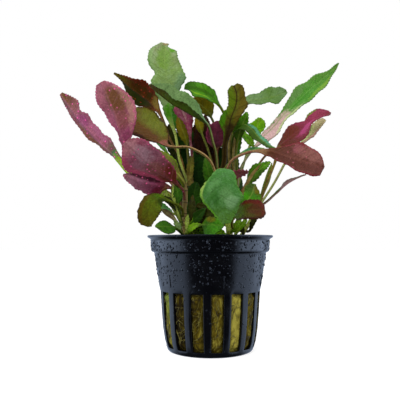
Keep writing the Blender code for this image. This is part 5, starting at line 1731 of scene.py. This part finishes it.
@dataclass
class RockWool:
    """The plug of rock wool: a lumpy core under a felt of loose fibres."""

    sides: int = 256
    profile: tuple[tuple[float, float], ...] = (
        (1.9, 17.7), (9.4, 19.3), (28.1, 20.9), (42.4, 23.2), (45.6, 23.7), (47.0, 22.3),
    )
    ring_steps: int = 60
    slot_bulge: float = 1.2
    lump_size: float = 3.5
    fibres: int = 420
    fibre_steps: int = 6
    fibre_sides: int = 4
    seed: int = 5

    def surface(self, pot: NetPot, angle: float, height: float) -> float:
        """Finds the core's radius, which swells into the slots, at an azimuth and a height."""
        pitch = 360 / pot.slots
        opening = pitch * (1 - pot.rib_columns / pot.pitch_columns) / 2
        aside = abs((math.degrees(angle) - pot.front_rib) % pitch - pitch / 2) / opening
        low, high = pot.slot_heights
        above = min(height - low - 0.6, high - 0.6 - height)
        swell = max(0.0, 1 - aside**8) * max(0.0, min(1.0, above / 1.5))
        return radius_of(self.profile, height) + self.slot_bulge * swell

    def build(self, pot: NetPot) -> None:
        """Builds the core over its solid, then the fibres on it."""
        low = self.profile[0][0]
        high = self.profile[-1][0]
        bm = bmesh.new()
        bmesh.ops.create_grid(bm, x_segments=self.sides, y_segments=self.ring_steps, size=0.5)
        turn_uv = bm.loops.layers.uv.new("turn")
        places = {vert: (vert.co.x + 0.5, vert.co.y + 0.5) for vert in bm.verts}
        for face in bm.faces:
            for loop in face.loops:
                loop[turn_uv].uv = places[loop.vert]
        for vert in bm.verts:
            angle = math.tau * vert.co.x
            height = low + (high - low) * (vert.co.y + 0.5)
            radius = self.surface(pot, angle, height)
            direction = Vector((math.sin(angle), -math.cos(angle), 0))
            spot = direction * radius + Vector((0, 0, height))
            bulge = 0.5 * noise.fractal(spot / self.lump_size, 1.0, 2.0, 4) - 0.3
            vert.co = (direction * (radius + min(0.2, bulge)) + Vector((0, 0, height))) * MM
        bmesh.ops.remove_doubles(bm, verts=bm.verts, dist=1e-7)
        rims = edge_loops([edge for edge in bm.edges if edge.is_boundary])
        for rim in rims:
            self._close(bm, rim)
        bmesh.ops.recalc_face_normals(bm, faces=bm.faces)
        obj = put_in_scene("rock_wool_core", bm, [WoolFinish().build()])
        report(obj, SLOTS["rock_wool"], "rock_wool")
        self._fibres(pot)

    def _fibres(self, pot: NetPot) -> None:
        """Lays loose fibres over the core, each a thin bent tube that leans to the right."""
        draw = random.Random(self.seed)
        low, high = pot.slot_heights
        bm = bmesh.new()
        for _ in range(self.fibres):
            angle = draw.uniform(-math.pi, math.pi)
            height = draw.uniform(low + 0.6, high - 0.6)
            lean = draw.gauss(0.45, 0.6)
            stride = draw.uniform(0.7, 1.8)
            width = draw.uniform(0.06, 0.15)
            points = []
            for _ in range(self.fibre_steps):
                radius = self.surface(pot, angle, height) + draw.uniform(-0.15, 0.12)
                points.append(Vector((math.sin(angle) * radius, -math.cos(angle) * radius, height)))
                angle += math.sin(lean) * stride / radius
                height = min(high - 0.4, max(low + 0.4, height + math.cos(lean) * stride))
                lean += draw.uniform(-0.35, 0.35)
            part = bmesh.new()
            lay_tube(part, points, self.fibre_sides, lambda number, turn: width)
            close_tubes(part, self.fibre_sides)
            gather(bm, part)
        obj = put_in_scene("rock_wool_fibres", bm, [FIBRE.build()])
        report(obj, SLOTS["rock_wool"])

    def _close(self, bm: Mesh, rim: Edges) -> None:
        """Closes an end of the core with rings that shrink to the axis."""
        edges = rim
        for share in (0.8, 0.6, 0.4, 0.2):
            made = bmesh.ops.extrude_edge_only(bm, edges=edges)["geom"]
            verts = [item for item in made if isinstance(item, bmesh.types.BMVert)]
            edges = [item for item in made if isinstance(item, bmesh.types.BMEdge)]
            edges = [edge for edge in edges if edge.is_boundary]
            before = share / (share + 0.2)
            for vert in verts:
                rise = 0.8 * noise.noise(vert.co / (4 * MM)) * MM
                vert.co = Vector((vert.co.x * before, vert.co.y * before, vert.co.z + rise * 0.5))
        bmesh.ops.holes_fill(bm, edges=edges, sides=self.sides)


@dataclass
class Studio:
    """The pale floor, the soft light and the camera of the photo."""

    eye: Point = (-4.5, -225.0, 46.4)
    pitch: float = 4.97
    lens: float = 45.0
    sensor: float = 36.0
    front: float = 0.02
    sides: float = 1.4
    level_sides: float = 3.0
    back: float = 0.8
    above: float = 0.7
    below: float = 0.08
    tint: str = "#c4d8f8"
    soft_tint: str = "#fffdf8"
    soft_above: float = 0.98
    soft_below: float = 0.5
    floor_glow: float = 0.7

    def build(self) -> None:
        """Sets up the floor, the light and the camera."""
        self._floor()
        self._light()
        camera = bpy.data.cameras.new("camera")
        camera.lens = self.lens
        camera.sensor_width = self.sensor
        camera.clip_start = 0.01
        obj = bpy.data.objects.new("camera", camera)
        obj.location = Vector(self.eye) * MM
        obj.rotation_euler = (math.radians(90 + self.pitch), 0, 0)
        bpy.context.scene.collection.objects.link(obj)
        bpy.context.scene.camera = obj
        bpy.context.scene.view_settings.view_transform = "Standard"

    def _floor(self) -> None:
        """Lays the pale floor, which only the camera sees, so that the pot doesn't mirror it."""
        material, tree = new_material("pale_paper")
        finish_material(
            tree,
            {
                "Base Color": linear("#c4c4c4"), "Roughness": 1.0, "Emission Color": linear("#ffffff"),
                "Emission Strength": self.floor_glow,
            },
        )
        bm = bmesh.new()
        bmesh.ops.create_grid(bm, x_segments=1, y_segments=1, size=3.0)
        mesh = bpy.data.meshes.new("floor")
        bm.to_mesh(mesh)
        bm.free()
        mesh.materials.append(material)
        floor = bpy.data.objects.new("floor", mesh)
        floor.visible_glossy = False
        floor.visible_diffuse = False
        bpy.context.scene.collection.objects.link(floor)

    def _light(self) -> None:
        """Lights the scene: what glossy surfaces mirror, what matt ones get, and two lamps."""
        world = bpy.data.worlds.new("studio")
        bpy.context.scene.world = world
        world.use_nodes = True
        tree = world.node_tree
        tree.nodes.clear()
        add = partial(add_node, tree)
        direction = add("TexCoord").outputs["Generated"]
        parts = add("SeparateXYZ", {0: direction}).outputs
        # The band of the pot stands upright and mirrors the brighter level part of the soft boxes
        low, high = self.sides, self.level_sides
        boxes = add(
            "MapRange",
            {"Value": parts[2], "From Min": -0.24, "From Max": -0.13, "To Min": low, "To Max": high},
        )
        # Each step takes the brightness that is already there to the level of its own area
        glow = self.front
        for value, start, end, level in (
            (parts[1], -0.68, -0.44, boxes),
            (parts[1], 0.4, 0.7, self.back),
            (parts[2], 0.4, 0.75, self.above),
            (parts[2], -0.42, -0.75, self.below),
        ):
            step = add("MapRange", {"Value": value, "From Min": start, "From Max": end}, **SOFT)
            glow = add("Mix", {0: step, 2: glow, 3: level}, data_type="FLOAT")
        tent = add("Background", {0: linear(self.tint), 1: glow})
        # The light that reaches matt surfaces is even and neutral, and stronger from above
        rise = add(
            "MapRange",
            {"Value": parts[2], "From Min": -1.0, "To Min": self.soft_below, "To Max": self.soft_above},
        )
        soft = add("Background", {0: linear(self.soft_tint), 1: rise})
        white = add("Background", {0: (1, 1, 1, 1), 1: 1.0})
        path = add("LightPath")
        shader = soft
        for ray, light in (("Is Glossy Ray", tent), ("Is Camera Ray", white)):
            shader = add("MixShader", {0: path.outputs[ray], 1: shader, 2: light})
        add("OutputWorld", {0: shader})
        for name, place, aim, size, power in (
            ("top_box", (-0.1, -0.05, 0.6), (0, 0, 0.08), 0.4, 1.6),
            ("front_box", (-0.2, -0.5, 0.55), (0, 0, 0.08), 0.3, 2.0),
        ):
            lamp = bpy.data.lights.new(name, "AREA")
            lamp.shape = "SQUARE"
            lamp.size = size
            lamp.energy = power
            obj = bpy.data.objects.new(name, lamp)
            obj.visible_glossy = False
            obj.location = place
            obj.rotation_euler = (Vector(aim) - Vector(place)).to_track_quat("-Z", "Y").to_euler()
            bpy.context.scene.collection.objects.link(obj)


def main() -> None:
    """Builds the pot, the wool, the stems and the leaves, then the studio."""
    logging.basicConfig(level=logging.INFO, format="%(message)s")
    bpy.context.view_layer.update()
    pot = NetPot()
    pot.build()
    MouldMarks().build(pot)
    WaterDrops().build(pot)
    RockWool().build(pot)
    for stem in STEMS:
        StemPiece(stem).build()
    for number, leaf in enumerate(LEAVES):
        leaf.build(number + 1)
    Studio().build()


if __name__ == "__main__":
    main()
